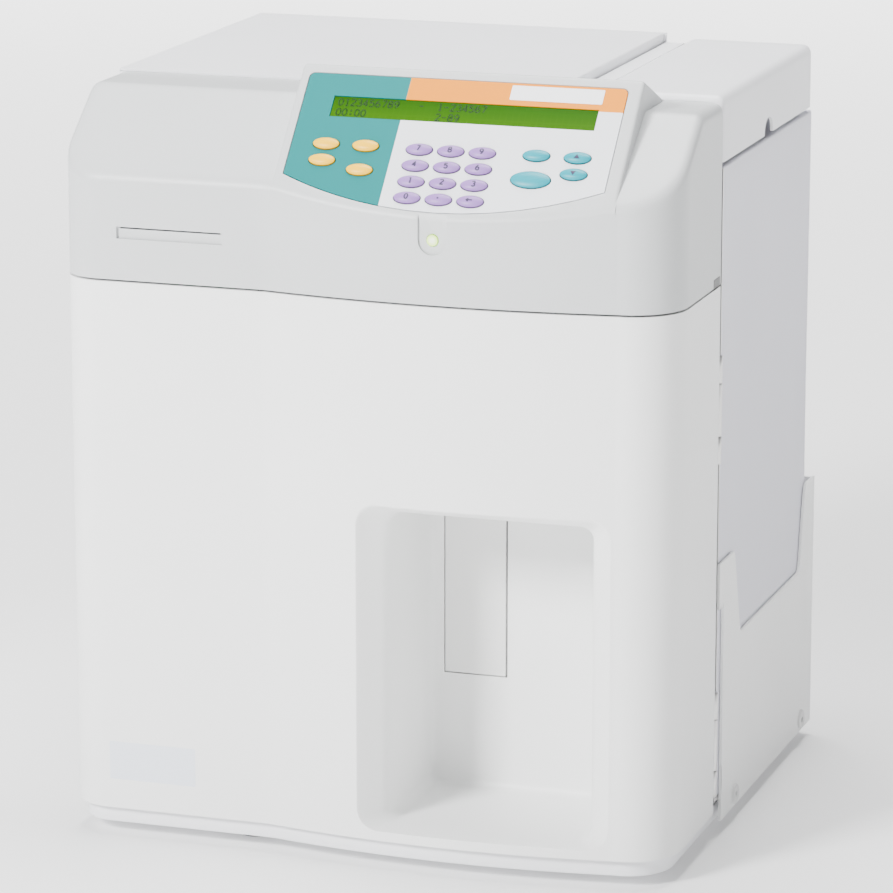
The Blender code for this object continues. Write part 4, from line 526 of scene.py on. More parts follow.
def hood_axes():
    """The hood's frame: its foot on the crease line, and the ways across, up the slope and out of it."""
    s = sizes()
    angle = math.atan2(s.hood_height - s.crease_height, s.strip_front)
    foot = np.array([0.0, 0.0, s.crease_height]) + shift()
    return foot, np.array([1.0, 0, 0]), np.array([0, math.cos(angle), math.sin(angle)]), np.array([0, -math.sin(angle), math.cos(angle)])


def on_hood(points):
    """Points given as (across, up the slope, out of it) carried into the frame."""
    foot, across, up, out = hood_axes()
    return foot + points[..., :1] * across + points[..., 1:2] * up + points[..., 2:3] * out


def panel_ring(grow, steps=40):
    """The panel's outline grown by a distance: straight top and sides and a bottom that sags as an arc."""
    s = sizes()
    half = (s.panel_right - s.panel_left) / 2
    radius = (half ** 2 + s.panel_sag ** 2) / (2 * s.panel_sag)
    middle = (s.panel_left + s.panel_right) / 2
    half, radius, top = half + grow, radius + grow, s.panel_top + grow
    height = s.panel_foot - s.panel_sag + radius - grow
    spread = math.asin(half / radius)
    angles = np.linspace(-spread, spread, steps)
    bottom = np.stack([middle + radius * np.sin(angles), height - radius * np.cos(angles)], axis=-1)
    corners = []
    for x, toward, first in ((middle + half, -1, 0.0), (middle - half, 1, HALF_TURN / 2)):
        r = s.panel_corner + max(grow, 0)
        turn = np.linspace(first, first + HALF_TURN / 2, 7)
        corners.append(np.stack([x + toward * r + r * np.cos(turn), top - r + r * np.sin(turn)], axis=-1))
    return np.concatenate([bottom] + corners)


def prism(name, ring, low, high, place):
    """A flat ring of points filled towards its middle at two levels and joined by a wall."""
    middle = ring.mean(axis=0)
    rows = [middle + 0 * ring, ring, ring, middle + 0 * ring]
    levels = [low, low, high, high]
    points = np.stack([np.concatenate([row, np.full((len(row), 1), level)], axis=-1) for row, level in zip(rows, levels)])
    points = np.concatenate([points, points[:, :1]], axis=1)
    return surface(name, [patch(place(points))])


def console_tools():
    """The tools that open the console cover."""
    s = sizes()
    seat = prism("tool", panel_ring(0.0006), -s.panel_seat, 0.006, on_hood)
    window = prism("tool", panel_ring(-0.003), -0.009, 0.006, on_hood)
    sink = cutter_box((s.slot_left, -0.004, s.slot_bottom), (s.slot_right, 0.0018, s.slot_top))
    mouth = cutter_box((s.slot_left + 0.0015, -0.004, s.slot_top - 0.0012), (s.slot_right - 0.0015, 0.008, s.slot_top - 0.0003))
    lamp = cutter_round((s.lamp_x, -0.020, s.lamp_z), (s.lamp_x, 0.004, s.lamp_z), 0.0035)
    half = s.pad_half
    turn = np.linspace(HALF_TURN, 2 * HALF_TURN, 17)
    pad = np.stack([s.lamp_x + half * np.cos(turn), s.lamp_z + half * np.sin(turn)], axis=-1)
    pad = np.concatenate([pad, [(s.lamp_x + half, 0.372), (s.lamp_x - half, 0.372)]])
    stand = lambda p: np.stack([p[..., 0], p[..., 2], p[..., 1]], axis=-1) + shift()
    return [seat, window, sink, mouth, lamp, prism("tool", pad, -0.014, -s.bulge + 0.0014, stand)]


def key_rows():
    """Every key as (node, slot, mark, across, up, length, height), across from the left and up the hood."""
    s = sizes()
    rows = []
    for row, names in enumerate((("7", "8", "9"), ("4", "5", "6"), ("1", "2", "3"), ("0", "point", "clear"))):
        for column, name in enumerate(names):
            rows.append(("key_" + name, "number_key", name, s.number_left + column * s.number_step,
                         s.number_top - row * s.number_drop, s.key_length, s.key_height))
    upper, lower, bottom = s.upper_row, s.lower_row, s.bottom_row
    for name, slot, mark, x, up in (
            ("key_ready", "start_key", "", s.start_left, upper), ("key_identity", "start_key", "", s.start_right, upper),
            ("key_rest", "start_key", "", s.start_left, lower), ("key_run", "start_key", "", s.start_right, bottom),
            ("key_back", "command_key", "", s.command_left, upper), ("key_up", "command_key", "up", s.command_right, upper),
            ("key_down", "command_key", "down", s.command_right, lower)):
        rows.append((name, slot, mark, x, up, s.key_length, s.key_height))
    rows.append(("key_accept", "command_key", "", s.command_left, bottom, s.enter_length, s.enter_height))
    return rows


def dome_height(share):
    """Height of a key's dome at a share of the way from its middle to its rim: flat on top, steep at the rim."""
    s = sizes()
    return s.key_shoulder + (s.key_proud - s.key_shoulder) * (1 - np.clip(share, 0, 1) ** 2.6) ** 0.8


def key_surface(name, x, up, length, height):
    """A key: an ellipse swept by shrinking shares over the dome, with an eased shoulder and a straight skirt."""
    s = sizes()
    angles = np.linspace(0, 2 * HALF_TURN, 49)
    shares = np.concatenate([[0, 1, 1], np.cos(np.linspace(0.03, HALF_TURN / 2, 15))])
    levels = np.concatenate([[-s.key_root, -s.key_root, s.key_shoulder * 0.5], dome_height(shares[3:])])
    grid = np.stack([x + length / 2 * shares[:, None] * np.cos(angles),
                     up + height / 2 * shares[:, None] * np.sin(angles),
                     np.repeat(levels[:, None], len(angles), axis=1)], axis=-1)
    key = surface(name, [patch(on_hood(grid))], sharp=75)
    # The skirt attribute is one at the key's foot and fades out above the shoulder; key_look uses it to lay painted
    # shade round each key.
    points = np.empty(len(key.data.vertices) * 3, np.float32)
    key.data.vertices.foreach_get("co", points)
    foot, _, _, out = hood_axes()
    rise = (points.reshape(-1, 3) - foot) @ out
    skirt = key.data.attributes.new("skirt", "FLOAT", "POINT")
    skirt.data.foreach_set("value", np.clip(1 - rise / s.key_shoulder / 1.6, 0, 1).astype(np.float32))
    return key


def arc_stroke(x, y, wide, tall, start, end):
    """A stroke along part of an ellipse, angles in degrees."""
    turn = np.radians(np.linspace(start, end, 25))
    return np.stack([x + wide * np.cos(turn), y + tall * np.sin(turn)], axis=-1)


def line_stroke(*points):
    """A stroke through points, with extra points between them."""
    points = np.array(points, float)
    parts = [line(a, b, 8)[:-1] for a, b in zip(points, points[1:])]
    return np.concatenate(parts + [points[-1:]])


def digit_strokes(mark):
    """The strokes of a plain digit, in a box 0.6 wide and 1 high about its middle."""
    drawn = {
        "0": [arc_stroke(0, 0, 0.28, 0.48, 0, 360)],
        "1": [line_stroke((-0.16, 0.3), (0.04, 0.48), (0.04, -0.48)), line_stroke((-0.14, -0.48), (0.2, -0.48))],
        "2": [np.concatenate([arc_stroke(0, 0.22, 0.27, 0.26, 165, -40), line_stroke((0.12, -0.02), (-0.28, -0.48), (0.3, -0.48))])],
        "3": [arc_stroke(-0.02, 0.23, 0.26, 0.25, 150, -90), arc_stroke(-0.02, -0.23, 0.29, 0.25, 90, -150)],
        "4": [line_stroke((0.12, -0.48), (0.12, 0.48), (-0.3, -0.2), (0.3, -0.2))],
        "5": [np.concatenate([line_stroke((0.25, 0.48), (-0.2, 0.48), (-0.24, 0.04)), arc_stroke(-0.02, -0.18, 0.29, 0.3, 125, -150)])],
        "6": [arc_stroke(0, -0.2, 0.27, 0.28, 0, 360), arc_stroke(0.26, -0.16, 0.53, 0.64, 180, 105)],
        "7": [line_stroke((-0.27, 0.48), (0.28, 0.48), (-0.08, -0.48))],
        "8": [arc_stroke(0, 0.24, 0.23, 0.24, 0, 360), arc_stroke(0, -0.23, 0.28, 0.25, 0, 360)],
        "9": [arc_stroke(0, 0.2, 0.27, 0.28, 0, 360), arc_stroke(-0.26, 0.16, 0.53, 0.64, 0, -75)],
        "point": [arc_stroke(0, 0, 0.05, 0.05, 0, 360)],
        "clear": [line_stroke((0.5, 0), (-0.5, 0)), line_stroke((-0.2, 0.3), (-0.55, 0), (-0.2, -0.3))],
        ":": [arc_stroke(0, 0.25, 0.05, 0.05, 0, 360), arc_stroke(0, -0.25, 0.05, 0.05, 0, 360)],
        "-": [line_stroke((-0.25, 0), (0.25, 0))],
    }
    return drawn[mark]


def ribbon(stroke, wide):
    """Left edge, middle and right edge of a stroke, moved aside along its own normal."""
    way = np.gradient(stroke, axis=0)
    way /= np.linalg.norm(way, axis=1, keepdims=True) + WELD
    aside = np.stack([-way[:, 1], way[:, 0]], axis=-1) * wide / 2
    return np.stack([stroke - aside, stroke, stroke + aside])


def arrow_grid(point_up):
    """A filled arrowhead: rows from its base to its point."""
    rows = np.linspace(-0.4, 0.45, 9)
    grid = np.stack([np.stack([np.linspace(-1, 1, 9) * (0.45 - row) * 0.62, np.full(9, row)], axis=-1) for row in rows])
    return grid if point_up else grid * np.array([1.0, -1.0])


def mark_grids(mark, tall, wide):
    """The flat grids of a digit or an arrow at a height."""
    if mark in ("up", "down"):
        return [arrow_grid(mark == "up") * tall]
    return [ribbon(stroke * tall, wide) for stroke in digit_strokes(mark)]


def print_marks(name, marks, wide, lift, ink, body):
    """Printed marks: each grid is laid at (across, up) and raised a little above the surface under it."""
    patches = []
    for mark, x, up, tall, over in marks:
        for grid in mark_grids(mark, tall, wide):
            place = grid + np.array([x, up])
            patches.append(patch(on_hood(np.concatenate([place, (over(grid) + lift)[..., None]], axis=-1))))
    made = surface(name, patches, closed=False)
    way = hood_axes()[3]
    if sum(np.dot(polygon.normal, way) for polygon in made.data.polygons) < 0:
        made.data.flip_normals()
    made.data.materials.append(look(ink))
    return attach(made, body)


def make_keys():
    """The oval keys with their digits and arrows, each on its own body."""
    s = sizes()
    for node, slot, mark, x, up, length, height in key_rows():
        key = key_surface(node + "_dome", x, up, length, height)
        finish_piece(key, slot, node, [node])
        if mark:
            over = lambda grid: dome_height(np.hypot(grid[..., 0] / (length / 2), grid[..., 1] / (height / 2)))
            print_marks(node + "_mark", [(mark, x, up, s.mark_height, over)], s.mark_width, 0.00004, "mark_ink", node)


def make_display():
    """The display's glass, a flat grid with a shallow rounded rim, and its rows of plain dark digits."""
    s = sizes()
    gap = 0.0003
    ring = rounded_ring(s.lcd_left + gap, s.lcd_right - gap, s.lcd_bottom + gap, s.lcd_top - gap, 0.0003, 12, 3)
    glass = prism("display_glass", ring, -0.0012, -s.lcd_sink, on_hood)
    finish_piece(glass, "display_green", "analyzer")
    rows = ((s.lcd_top - 0.0037, ((0, "0123456789"), (13, "-"), (16, "1-234567"))),
            (s.lcd_bottom + 0.0033, ((0, "00:00"), (16, "2-89"))))
    marks = []
    level = lambda grid: np.full(grid.shape[:-1], -s.lcd_sink)
    for up, groups in rows:
        for start, text in groups:
            for i, mark in enumerate(text):
                marks.append((mark, s.lcd_left + 0.0045 + (start + i) * s.character_pitch, up, s.character_height, level))
    print_marks("display_digits", marks, 0.0008, 0.00005, "display_ink", "analyzer")


def make_panel():
    """The white label place at the printed panel's upper right."""
    s = sizes()
    ring = rounded_ring(s.label_left, s.label_right, s.label_bottom, s.label_top, 0.0006, 12, 4)
    label = prism("panel_label", ring, 0.00002, 0.0003, on_hood)
    finish_piece(label, "panel_print", "analyzer", named="panel_film")


def make_lamp():
    """The lamp: a lens of revolution, domed as part of a circle."""
    s = sizes()
    turn = np.linspace(0, HALF_TURN / 2, 12)
    radius = 0.0031
    profile = np.concatenate([[(0.0, -0.4), (radius, -0.4)], np.stack([radius * np.cos(turn), 0.7 + 0.3 * np.sin(turn)], axis=-1)])
    face = -s.bulge + 0.0014
    start = np.array([s.lamp_x, face + 0.0028, s.lamp_z]) + shift()
    end = np.array([s.lamp_x, face - 0.0004, s.lamp_z]) + shift()
    lens = revolve("lamp_lens_dome", start, end, profile)
    finish_piece(lens, "lamp_lens", "analyzer")


def extruded(name, outline, front, rear, steps=2, closed_ends=True):
    """A profile in (x, z) carried from front to rear, its ends filled towards the profile's middle."""
    middle = outline.mean(axis=0)
    depths = np.linspace(front, rear, steps)
    rings = [upright(outline, depth) for depth in depths]
    rings = [upright(middle + 0 * outline, front)] + rings + [upright(middle + 0 * outline, rear)]
    grid = np.stack(rings)
    grid = np.concatenate([grid, grid[:, :1]], axis=1)
    return surface(name, [patch(grid + shift())])


def smooth_path(points, radii, steps=6):
    """A flat path whose inner corners are turned by Beziers that start a radius away from them."""
    points = [np.array(point, float) for point in points]
    path = [points[0][None]]
    for before, corner, after, radius in zip(points, points[1:], points[2:], radii):
        start = corner + (before - corner) / np.linalg.norm(before - corner) * radius
        end = corner + (after - corner) / np.linalg.norm(after - corner) * radius
        path.append(bend(start, corner, end, steps))
    return np.concatenate(path + [points[-1][None]])


def bent_sheet(name, points, radii, thickness, front, rear, steps=3):
    """A bent sheet: the path's two faces, offset by the thickness, carried from front to rear."""
    path = smooth_path(points, radii)
    way = np.gradient(path, axis=0)
    way /= np.linalg.norm(way, axis=1, keepdims=True)
    inner = path + np.stack([way[:, 1], -way[:, 0]], axis=-1) * thickness
    depths = np.linspace(front, rear, steps)
    outer_grid = np.stack([upright(path, depth) for depth in depths]) + shift()
    inner_grid = np.stack([upright(inner, depth) for depth in depths]) + shift()
    patches = [patch(outer_grid), patch(inner_grid)]
    for a, b in ((outer_grid[0], inner_grid[0]), (outer_grid[-1], inner_grid[-1]),
                 (outer_grid[:, 0], inner_grid[:, 0]), (outer_grid[:, -1], inner_grid[:, -1])):
        patches.append(patch(np.stack([a, b])))
    return surface(name, patches)


def node_span(node):
    """Corners of a CAD node in lengths counted from the left side, the flat front and the table."""
    low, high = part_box(node)
    return np.array(low) - shift(), np.array(high) - shift()


def make_top_cover():
    """Top cover: a sheet along x with a rolled edge on the left and a flange turned down on the right."""
    low, high = node_span("top_cover")
    sheet = 0.0015
    points = [(low[0], high[2] - sheet * 0.999), (low[0], high[2]), (high[0], high[2]), (high[0], low[2])]
    cover = bent_sheet("top_cover_sheet", points, [0.0012, 0.0016], sheet, low[1], high[1])
    soften(cover, 0.0004)
    finish_piece(cover, "lavender_paint", "analyzer", ["top_cover"])


def make_hinge_strip():
    """The strip beside the top cover with the rolled edge that carries the cap."""
    low, high = node_span("cap_hinge_strip")
    axis_x, axis_z = high[0] - 0.0014, high[2] - 0.0016
    turn = np.linspace(0.75 * HALF_TURN, -0.75 * HALF_TURN, 20)
    bead = np.stack([axis_x + 0.0014 * np.cos(turn), axis_z + 0.0014 * np.sin(turn)], axis=-1)
    left = np.array([(low[0], high[2] - 0.002), (low[0], high[2])])
    outline = np.concatenate([left, [(axis_x - 0.0031, high[2]), (axis_x - 0.0028, axis_z + 0.0007)], bead,
                              [(axis_x - 0.0028, axis_z - 0.0007), (axis_x - 0.0031, high[2] - 0.002)]])
    strip = extruded("cap_strip", outline, low[1], high[1])
    finish_piece(strip, "lavender_paint", "analyzer", ["cap_hinge_strip"])


def corners_in(points, wall):
    """Corners of an open path moved to its right-hand side, each along the middle of its two normals."""
    points = np.array(points)
    way = np.diff(points, axis=0)
    way /= np.linalg.norm(way, axis=1, keepdims=True)
    normal = np.stack([way[:, 1], -way[:, 0]], axis=-1)
    before, after = np.concatenate([normal[:1], normal]), np.concatenate([normal, normal[-1:]])
    return points + wall * (before + after) / (1 + np.sum(before * after, axis=1, keepdims=True))


def cap_profile(wall):
    """The cap seen from the front: foot of the rise, top, shoulder and skirt, moved in by a wall."""
    s = sizes()
    low, high = node_span("reagent_cap")
    points = [(low[0], s.strip_level - 0.0023), (low[0], s.strip_level), (low[0] + 0.0011, s.strip_level),
              (low[0] + 0.0081, high[2]), (high[0], high[2]), (high[0], low[2])]
    foot = 0.0002 if wall else 0.0006
    return smooth_path([tuple(point) for point in corners_in(points, wall)], [foot, foot, 0.003 - wall, s.cap_round - wall])


def make_reagent_cap():
    """Reagent cap: a profile carried from front to rear with rounded ends, its skirt cut by the finger notch.

    Near its ends the profile is drawn in by r(1 - cos t), and the skirt's lower edge rises over the notch by
    the height of a circle about the notch's middle.
    """
    low, high = node_span("reagent_cap")
    outer, inner = [cap_grid(cap_profile(wall), low, high, wall) for wall in (0.0, 0.0017)]
    patches = [patch(outer + shift()), patch(inner + shift())]
    for a, b in ((outer[0], inner[0]), (outer[-1], inner[-1]), (outer[:, 0], inner[:, 0]), (outer[:, -1], inner[:, -1])):
        patches.append(patch(np.stack([a, b]) + shift()))
    cap = surface("reagent_cap_shell", patches)
    soften(cap, 0.0004)
    finish_piece(cap, "lavender_paint", "reagent_cap", ["reagent_cap"])


def cap_grid(profile, low, high, wall):
    """One surface of the cap: rows from the front end over the top to the rear end."""
    s = sizes()
    radius = 0.0035
    turn = np.linspace(0, HALF_TURN / 2, 7)
    drawn = radius * (1 - np.sin(turn))
    front = low[1] + radius * (1 - np.cos(turn))
    rear = high[1] - radius * (1 - np.cos(turn))
    notch = np.linspace(s.notch_y - s.notch_radius, s.notch_y + s.notch_radius, 31)
    middle = np.concatenate([np.linspace(front[-1], notch[0], 12)[1:-1], notch, np.linspace(notch[-1], rear[-1], 12)[1:-1]])
    y = np.concatenate([front, middle, rear[::-1]])
    inset = np.concatenate([drawn, np.zeros(len(middle)), drawn[::-1]])
    y = np.clip(y, low[1] + wall, high[1] - wall)
    rows = []
    for depth, reach in zip(y, inset):
        lift = math.sqrt(max(s.notch_radius ** 2 - (depth - s.notch_y) ** 2, 0.0))
        rows.append(cap_row(profile, low, high, depth, reach, lift))
    return np.stack(rows)


def cap_row(profile, low, high, depth, reach, lift):
    """The profile at one depth: top and skirt drawn in by a reach, and the skirt's edge lifted."""
    x, z = profile[:, 0].copy(), profile[:, 1].copy()
    over = np.clip((x - low[0] - 0.0011) / 0.007, 0, 1)
    z -= reach * over * np.clip((z - low[2]) / 0.004, 0, 1)
    x -= reach * np.clip((x - low[0] - 0.02) / (high[0] - low[0] - 0.02), 0, 1) ** 4
    skirt = np.arange(len(x)) == len(x) - 1
    z = np.where(skirt, low[2] + lift, z)
    return np.stack([x, np.full(len(x), depth), z], axis=-1)


def rounded_block(name, low, high, radius, dent=None, side_steps=16, levels=24):
    """A block whose rings are rounded rectangles; near its top and base they are drawn in along a quarter circle."""
    turn = np.linspace(0, HALF_TURN / 2, 6)
    heights = np.concatenate([low[2] + radius * (1 - np.cos(turn)), np.linspace(low[2] + radius, high[2] - radius, levels)[1:-1],
                              high[2] - radius * (1 - np.cos(turn[::-1]))])
    drawn = np.concatenate([radius * (1 - np.sin(turn)), np.zeros(levels - 2), radius * (1 - np.sin(turn[::-1]))])
    rings = []
    for share in (0.0, 0.5, 0.9):
        rings.append(block_ring(low, high, radius, radius, heights[0], side_steps, share))
    rings += [block_ring(low, high, radius, inset, height, side_steps, 1.0) for height, inset in zip(heights, drawn)]
    for share in (0.9, 0.5, 0.0):
        rings.append(block_ring(low, high, radius, radius, heights[-1], side_steps, share))
    grid = np.stack(rings)
    grid = np.concatenate([grid, grid[:, :1]], axis=1)
    if dent is not None:
        grid = dent(grid)
    return surface(name, [patch(grid + shift())])


def block_ring(low, high, radius, inset, height, side_steps, share):
    """One level of a rounded block, shrunk towards its middle by a share."""
    ring = rounded_ring(low[0] + inset, high[0] - inset, low[1] + inset, high[1] - inset, max(radius - inset, 0.0002), side_steps, 4)
    middle = (np.array(low[:2]) + np.array(high[:2])) / 2
    ring = middle + (ring - middle) * share
    return np.concatenate([ring, np.full((len(ring), 1), height)], axis=-1)


def pack_dent(grid):
    """Soft hollows in the carton's side: sums of bell curves in y and z, none deeper than about a millimetre."""
    low, high = node_span("reagent_pack")
    y, z = grid[..., 1], grid[..., 2]
    side = np.clip((grid[..., 0] - high[0] + 0.003) / 0.003, 0, 1)
    depth = np.zeros_like(y)
    for centre_y, centre_z, wide, tall, deep in ((low[1] + 0.03, high[2] - 0.05, 0.02, 0.03, 0.0009),
                                                 (low[1] + 0.045, high[2] - 0.12, 0.022, 0.09, 0.0016),
                                                 (high[1] - 0.02, high[2] - 0.16, 0.015, 0.06, 0.0014),
                                                 (low[1] + 0.12, high[2] - 0.10, 0.04, 0.08, 0.0012)):
        depth += deep * np.exp(-((y - centre_y) / wide) ** 2 - ((z - centre_z) / tall) ** 2)
    grid = grid.copy()
    grid[..., 0] -= depth * side
    return grid


def make_reagent_pack():
    """The reagent carton: a rounded block with soft hollows in its side."""
    low, high = node_span("reagent_pack")
    pack = rounded_block("reagent_carton", low, high, 0.0014, pack_dent, 48, 60)
    finish_piece(pack, "lavender_card", "side_carrier", ["reagent_pack"])


def pocket_edges(y):
    """Lower and upper edge of the pocket's side at each depth y: a front step, two ears and the dip between."""
    s = sizes()
    low = np.where(y < s.pocket_front + 0.009 - 1e-9, s.pocket_step_height, s.pocket_bottom)
    knots = [s.pocket_front, s.pocket_ear_front, s.pocket_low_front, s.pocket_low_rear, s.pocket_ear_rear, s.pocket_rear]
    high = np.interp(y, knots, [s.pocket_top, s.pocket_top, s.pocket_dip, s.pocket_dip, s.pocket_top, s.pocket_top])
    return low, high


def make_pack_pocket():
    """The pocket: a sheet whose upper edge is the running mean of ears, slopes and dip, with a return at the rear."""
    s = sizes()
    low, high = node_span("pack_pocket")
    step = s.pocket_front + 0.009
    y = np.concatenate([np.linspace(s.pocket_front, step - 1e-6, 6), np.linspace(step, s.pocket_rear, 150)])
    bottom, _ = pocket_edges(y)
    reach = np.linspace(-0.0025, 0.0025, 11)
    top = np.mean([pocket_edges(np.clip(y + r, s.pocket_front, s.pocket_rear))[1] for r in reach], axis=0)
    share = np.linspace(0, 1, 8)[:, None]
    heights = bottom + (top - bottom) * share
    sides = []
    sheet = 0.0015
    for x in (high[0], high[0] - sheet):
        sides.append(np.stack([np.full_like(heights, x), np.broadcast_to(y, heights.shape), heights], axis=-1) + shift())
    outer, inner = sides
    patches = [patch(outer), patch(inner)]
    for a, b in ((outer[0], inner[0]), (outer[-1], inner[-1]), (outer[:, 0], inner[:, 0]), (outer[:, -1], inner[:, -1])):
        patches.append(patch(np.stack([a, b])))
    pocket = surface("pocket_sheet", patches)
    soften(pocket, 0.0004)
    finish_piece(pocket, "white_shell", "side_carrier", ["pack_pocket"])
    back = rounded_block("pocket_return", (low[0], s.pocket_rear - sheet, 0.020), (high[0] - 0.0004, s.pocket_rear - 0.0001, s.pocket_top - 0.0003), 0.0006)
    finish_piece(back, "white_shell", "side_carrier")
    for i, depth in enumerate((0.138, 0.290)):
        plug = revolve("pocket_plug_" + str(i), np.array([high[0] - 0.0004, depth, 0.016]) + shift(),
                       np.array([high[0] + 0.0013, depth, 0.016]) + shift(),
                       np.array([(0, 0), (0.0060, 0), (0.0060, 0.5), (0.0055, 0.95), (0.0028, 1.0), (0.0018, 0.9), (0.0016, 0.3), (0, 0.3)]))
        finish_piece(plug, "white_shell", "side_carrier", named="plug_plastic")
        # Painted shade: a dark pin sits in each plug's hole, standing for the shadow inside it.
        pin = revolve("pocket_plug_shade_pin_" + str(i), np.array([high[0] - 0.0002, depth, 0.016]) + shift(),
                      np.array([high[0] + 0.0006, depth, 0.016]) + shift(), np.array([(0, 0), (0.0015, 0), (0.0015, 0.8), (0.0011, 1.0), (0, 1.0)]), 24)
        finish_piece(pin, "dark_plastic", "side_carrier")


def make_hinges():
    """Side hinges: knuckles are surfaces of revolution with eased ends, leaves are flat rounded blocks."""
    s = sizes()
    ease = np.array([(0, 0), (0.8, 0), (0.95, 0.006), (1, 0.02), (1, 0.98), (0.95, 0.994), (0.8, 1), (0, 1)])
    for name in ("upper", "lower"):
        frame_leaf, door_leaf = name + "_hinge_frame_leaf", name + "_hinge_door_leaf"
        low, high = node_span(frame_leaf)
        inner_low, inner_high = node_span(door_leaf)
        spans = [("bottom", low[2], inner_low[2] - 0.0003, "analyzer"), ("middle", inner_low[2], inner_high[2], "side_carrier"),
                 ("top", inner_high[2] + 0.0003, high[2], "analyzer")]
        for part, bottom, top, body in spans:
            profile = ease * np.array([s.knuckle_radius, 1.0])
            knuckle = revolve(name + "_knuckle_" + part, np.array([s.hinge_x, s.hinge_y, bottom]) + shift(),
                              np.array([s.hinge_x, s.hinge_y, top]) + shift(), profile, 32)
            finish_piece(knuckle, "sheet_steel", body)
            near = low[1] if body == "analyzer" else s.door_leaf_y
            tab = rounded_block(name + "_tab_" + part, (s.hinge_x - 0.0066, near, bottom + 0.0002),
                                (s.hinge_x - 0.0012, near + 0.001, top - 0.0002), 0.0003, side_steps=3, levels=6)
            finish_piece(tab, "sheet_steel", body)
        plate = rounded_block(name + "_frame_plate", (low[0], low[1], low[2]), (s.hinge_x - 0.0065, low[1] + 0.001, high[2]), 0.0003)
        finish_piece(plate, "sheet_steel", "analyzer", [frame_leaf])
        plate = rounded_block(name + "_door_plate", (inner_low[0], s.door_leaf_y, inner_low[2]),
                              (s.hinge_x - 0.0065, s.door_leaf_y + 0.001, inner_high[2]), 0.0003)
        finish_piece(plate, "sheet_steel", "side_carrier", [door_leaf])


def make_feet():
    """The feet: surfaces of revolution, wider at the table, with a rounded rim and a shallow hollow under them."""
    for node in ("foot_front_left", "foot_front_right", "foot_rear_left", "foot_rear_right"):
        low, high = node_span(node)
        x, y = (low[0] + high[0]) / 2, (low[1] + high[1]) / 2
        profile = np.array([(0, 0.12), (0.0075, 0.12), (0.0082, 0.0), (0.0104, 0.0), (0.0109, 0.05), (0.011, 0.14),
                            (0.0100, 0.6), (0.009, 1.0), (0, 1.0)])
        foot = revolve(node + "_rubber", np.array([x, y, low[2]]) + shift(), np.array([x, y, high[2]]) + shift(), profile)
        finish_piece(foot, "foot_rubber", "analyzer", [node])


def make_base_rim():
    """The base's rim: an upright wall along the plan path drawn in from the covers, closed over its floor."""
    low, high = node_span("base_pan")
    s = sizes()
    inset = 0.0045
    start = s.bulge_left + 0.03
    x = np.linspace(start, s.width - s.right_corner, 30)[1:-1]
    path = np.concatenate([plan_left(s.body_rear, start), np.stack([x, front_depth(x)], axis=-1), plan_right(s.body_rear)])
    ends = {"first": (1.0, -1.0), "last": (-1.0, -1.0)}
    path = moved_in(path, inset, **ends)
    middle = np.array([s.width / 2, s.body_rear / 2])
    rows = []
    for share, drawn, height in ((0.0, 0, low[2]), (1.0, 0.0012, low[2]), (1.0, 0.0003, low[2] + 0.0004), (1.0, 0, low[2] + 0.0014),
                                 (1.0, 0, high[2]), (1.0, 0.0025, high[2]), (1.0, 0.0025, low[2] + 0.0025), (0.0, 0, low[2] + 0.0025)):
        ring = moved_in(path, drawn, **ends) if drawn else path
        ring = middle + (ring - middle) * share
        rows.append(np.concatenate([ring, np.full((len(ring), 1), height)], axis=-1))
    grid = np.stack(rows)
    grid = np.concatenate([grid, grid[:, :1]], axis=1)
    pan = surface("base_rim", [patch(grid + shift())])
    finish_piece(pan, "lavender_paint", "analyzer", ["base_pan"])


def make_seam_block():
    """The dark grey block that shows at the right end of the seam, above it."""
    s = sizes()
    foot = node_span("console_cover")[0][2]
    rear = s.cover_rear - 0.0015
    block = rounded_block("seam_block", (s.width - 0.0025, rear - s.seam_block_depth, foot + 0.0004),
                          (s.width + 0.0002, rear, foot + s.seam_block_height), 0.0005, side_steps=6, levels=8)
    finish_piece(block, "dark_plastic", "analyzer", named="seam_grey")


def make_screws():
    """Rear screws: domed heads of revolution, part of a circle, with a sunk round socket."""
    s = sizes()
    low, high = node_span("rear_panel")
    turn = np.linspace(0.2, 0.95, 9) * HALF_TURN / 2
    head = np.stack([s.screw_radius * np.cos(turn - turn[0]), 0.4 + 0.6 * np.sin(turn - turn[0])], axis=-1)
    rim = head[-1, 0]
    profile = np.concatenate([[(0, 0), (s.screw_radius, 0)], head, [(rim * 0.8, 0.9), (rim * 0.7, 0.35), (0, 0.3)]])
    edge = s.screw_edge
    places = [(x, z) for x in (low[0] + edge, (low[0] + high[0]) / 2, high[0] - edge) for z in (low[2] + edge, high[2] - edge)]
    for i, (x, z) in enumerate(places):
        foot = np.array([x, high[1] - 0.0002, z]) + shift()
        screw = revolve("rear_screw_" + str(i), foot, foot + np.array([0, s.screw_rise, 0]), profile, 32)
        finish_piece(screw, "sheet_steel", "analyzer")


def make_front_label():
    """The bare label place low on the left of the front."""
    s = sizes()
    ring = rounded_ring(0.0268, 0.0783, 0.034, 0.056, 0.0008, 12, 4)
    stand = lambda p: np.stack([p[..., 0], -p[..., 2], p[..., 1]], axis=-1) + shift()
    label = prism("front_label", ring, -0.0003, 0.00015, stand)
    finish_piece(label, "white_shell", "analyzer", named="label_film")


def make_press_plate():
    """The press plate: a rounded block hanging in the recess's rear opening."""
    low, high = node_span("press_plate")
    s = sizes()
    plate = rounded_block("press_plate_face", low, (high[0], low[1] + s.plate_thickness, high[2]), 0.0006)
    finish_piece(plate, "white_shell", "press_plate", ["press_plate"], named="plate_plastic")
    hub = np.array([low[0], high[1] - s.plate_boss, high[2] - s.plate_drop])
    side = np.array([high[0] - low[0], 0.0, 0.0])
    hole, rim, ease = s.plate_bore, s.plate_boss, s.plate_boss / 8
    ring = np.array([(hole, 0), (rim - ease, 0), (rim, 0.01), (rim, 0.99), (rim - ease, 1), (hole, 1), (hole, 0)])
    hub = hub + shift()
    boss = revolve("press_plate_boss", hub, hub + side, ring)
    finish_piece(boss, "white_shell", "press_plate", named="plate_plastic")


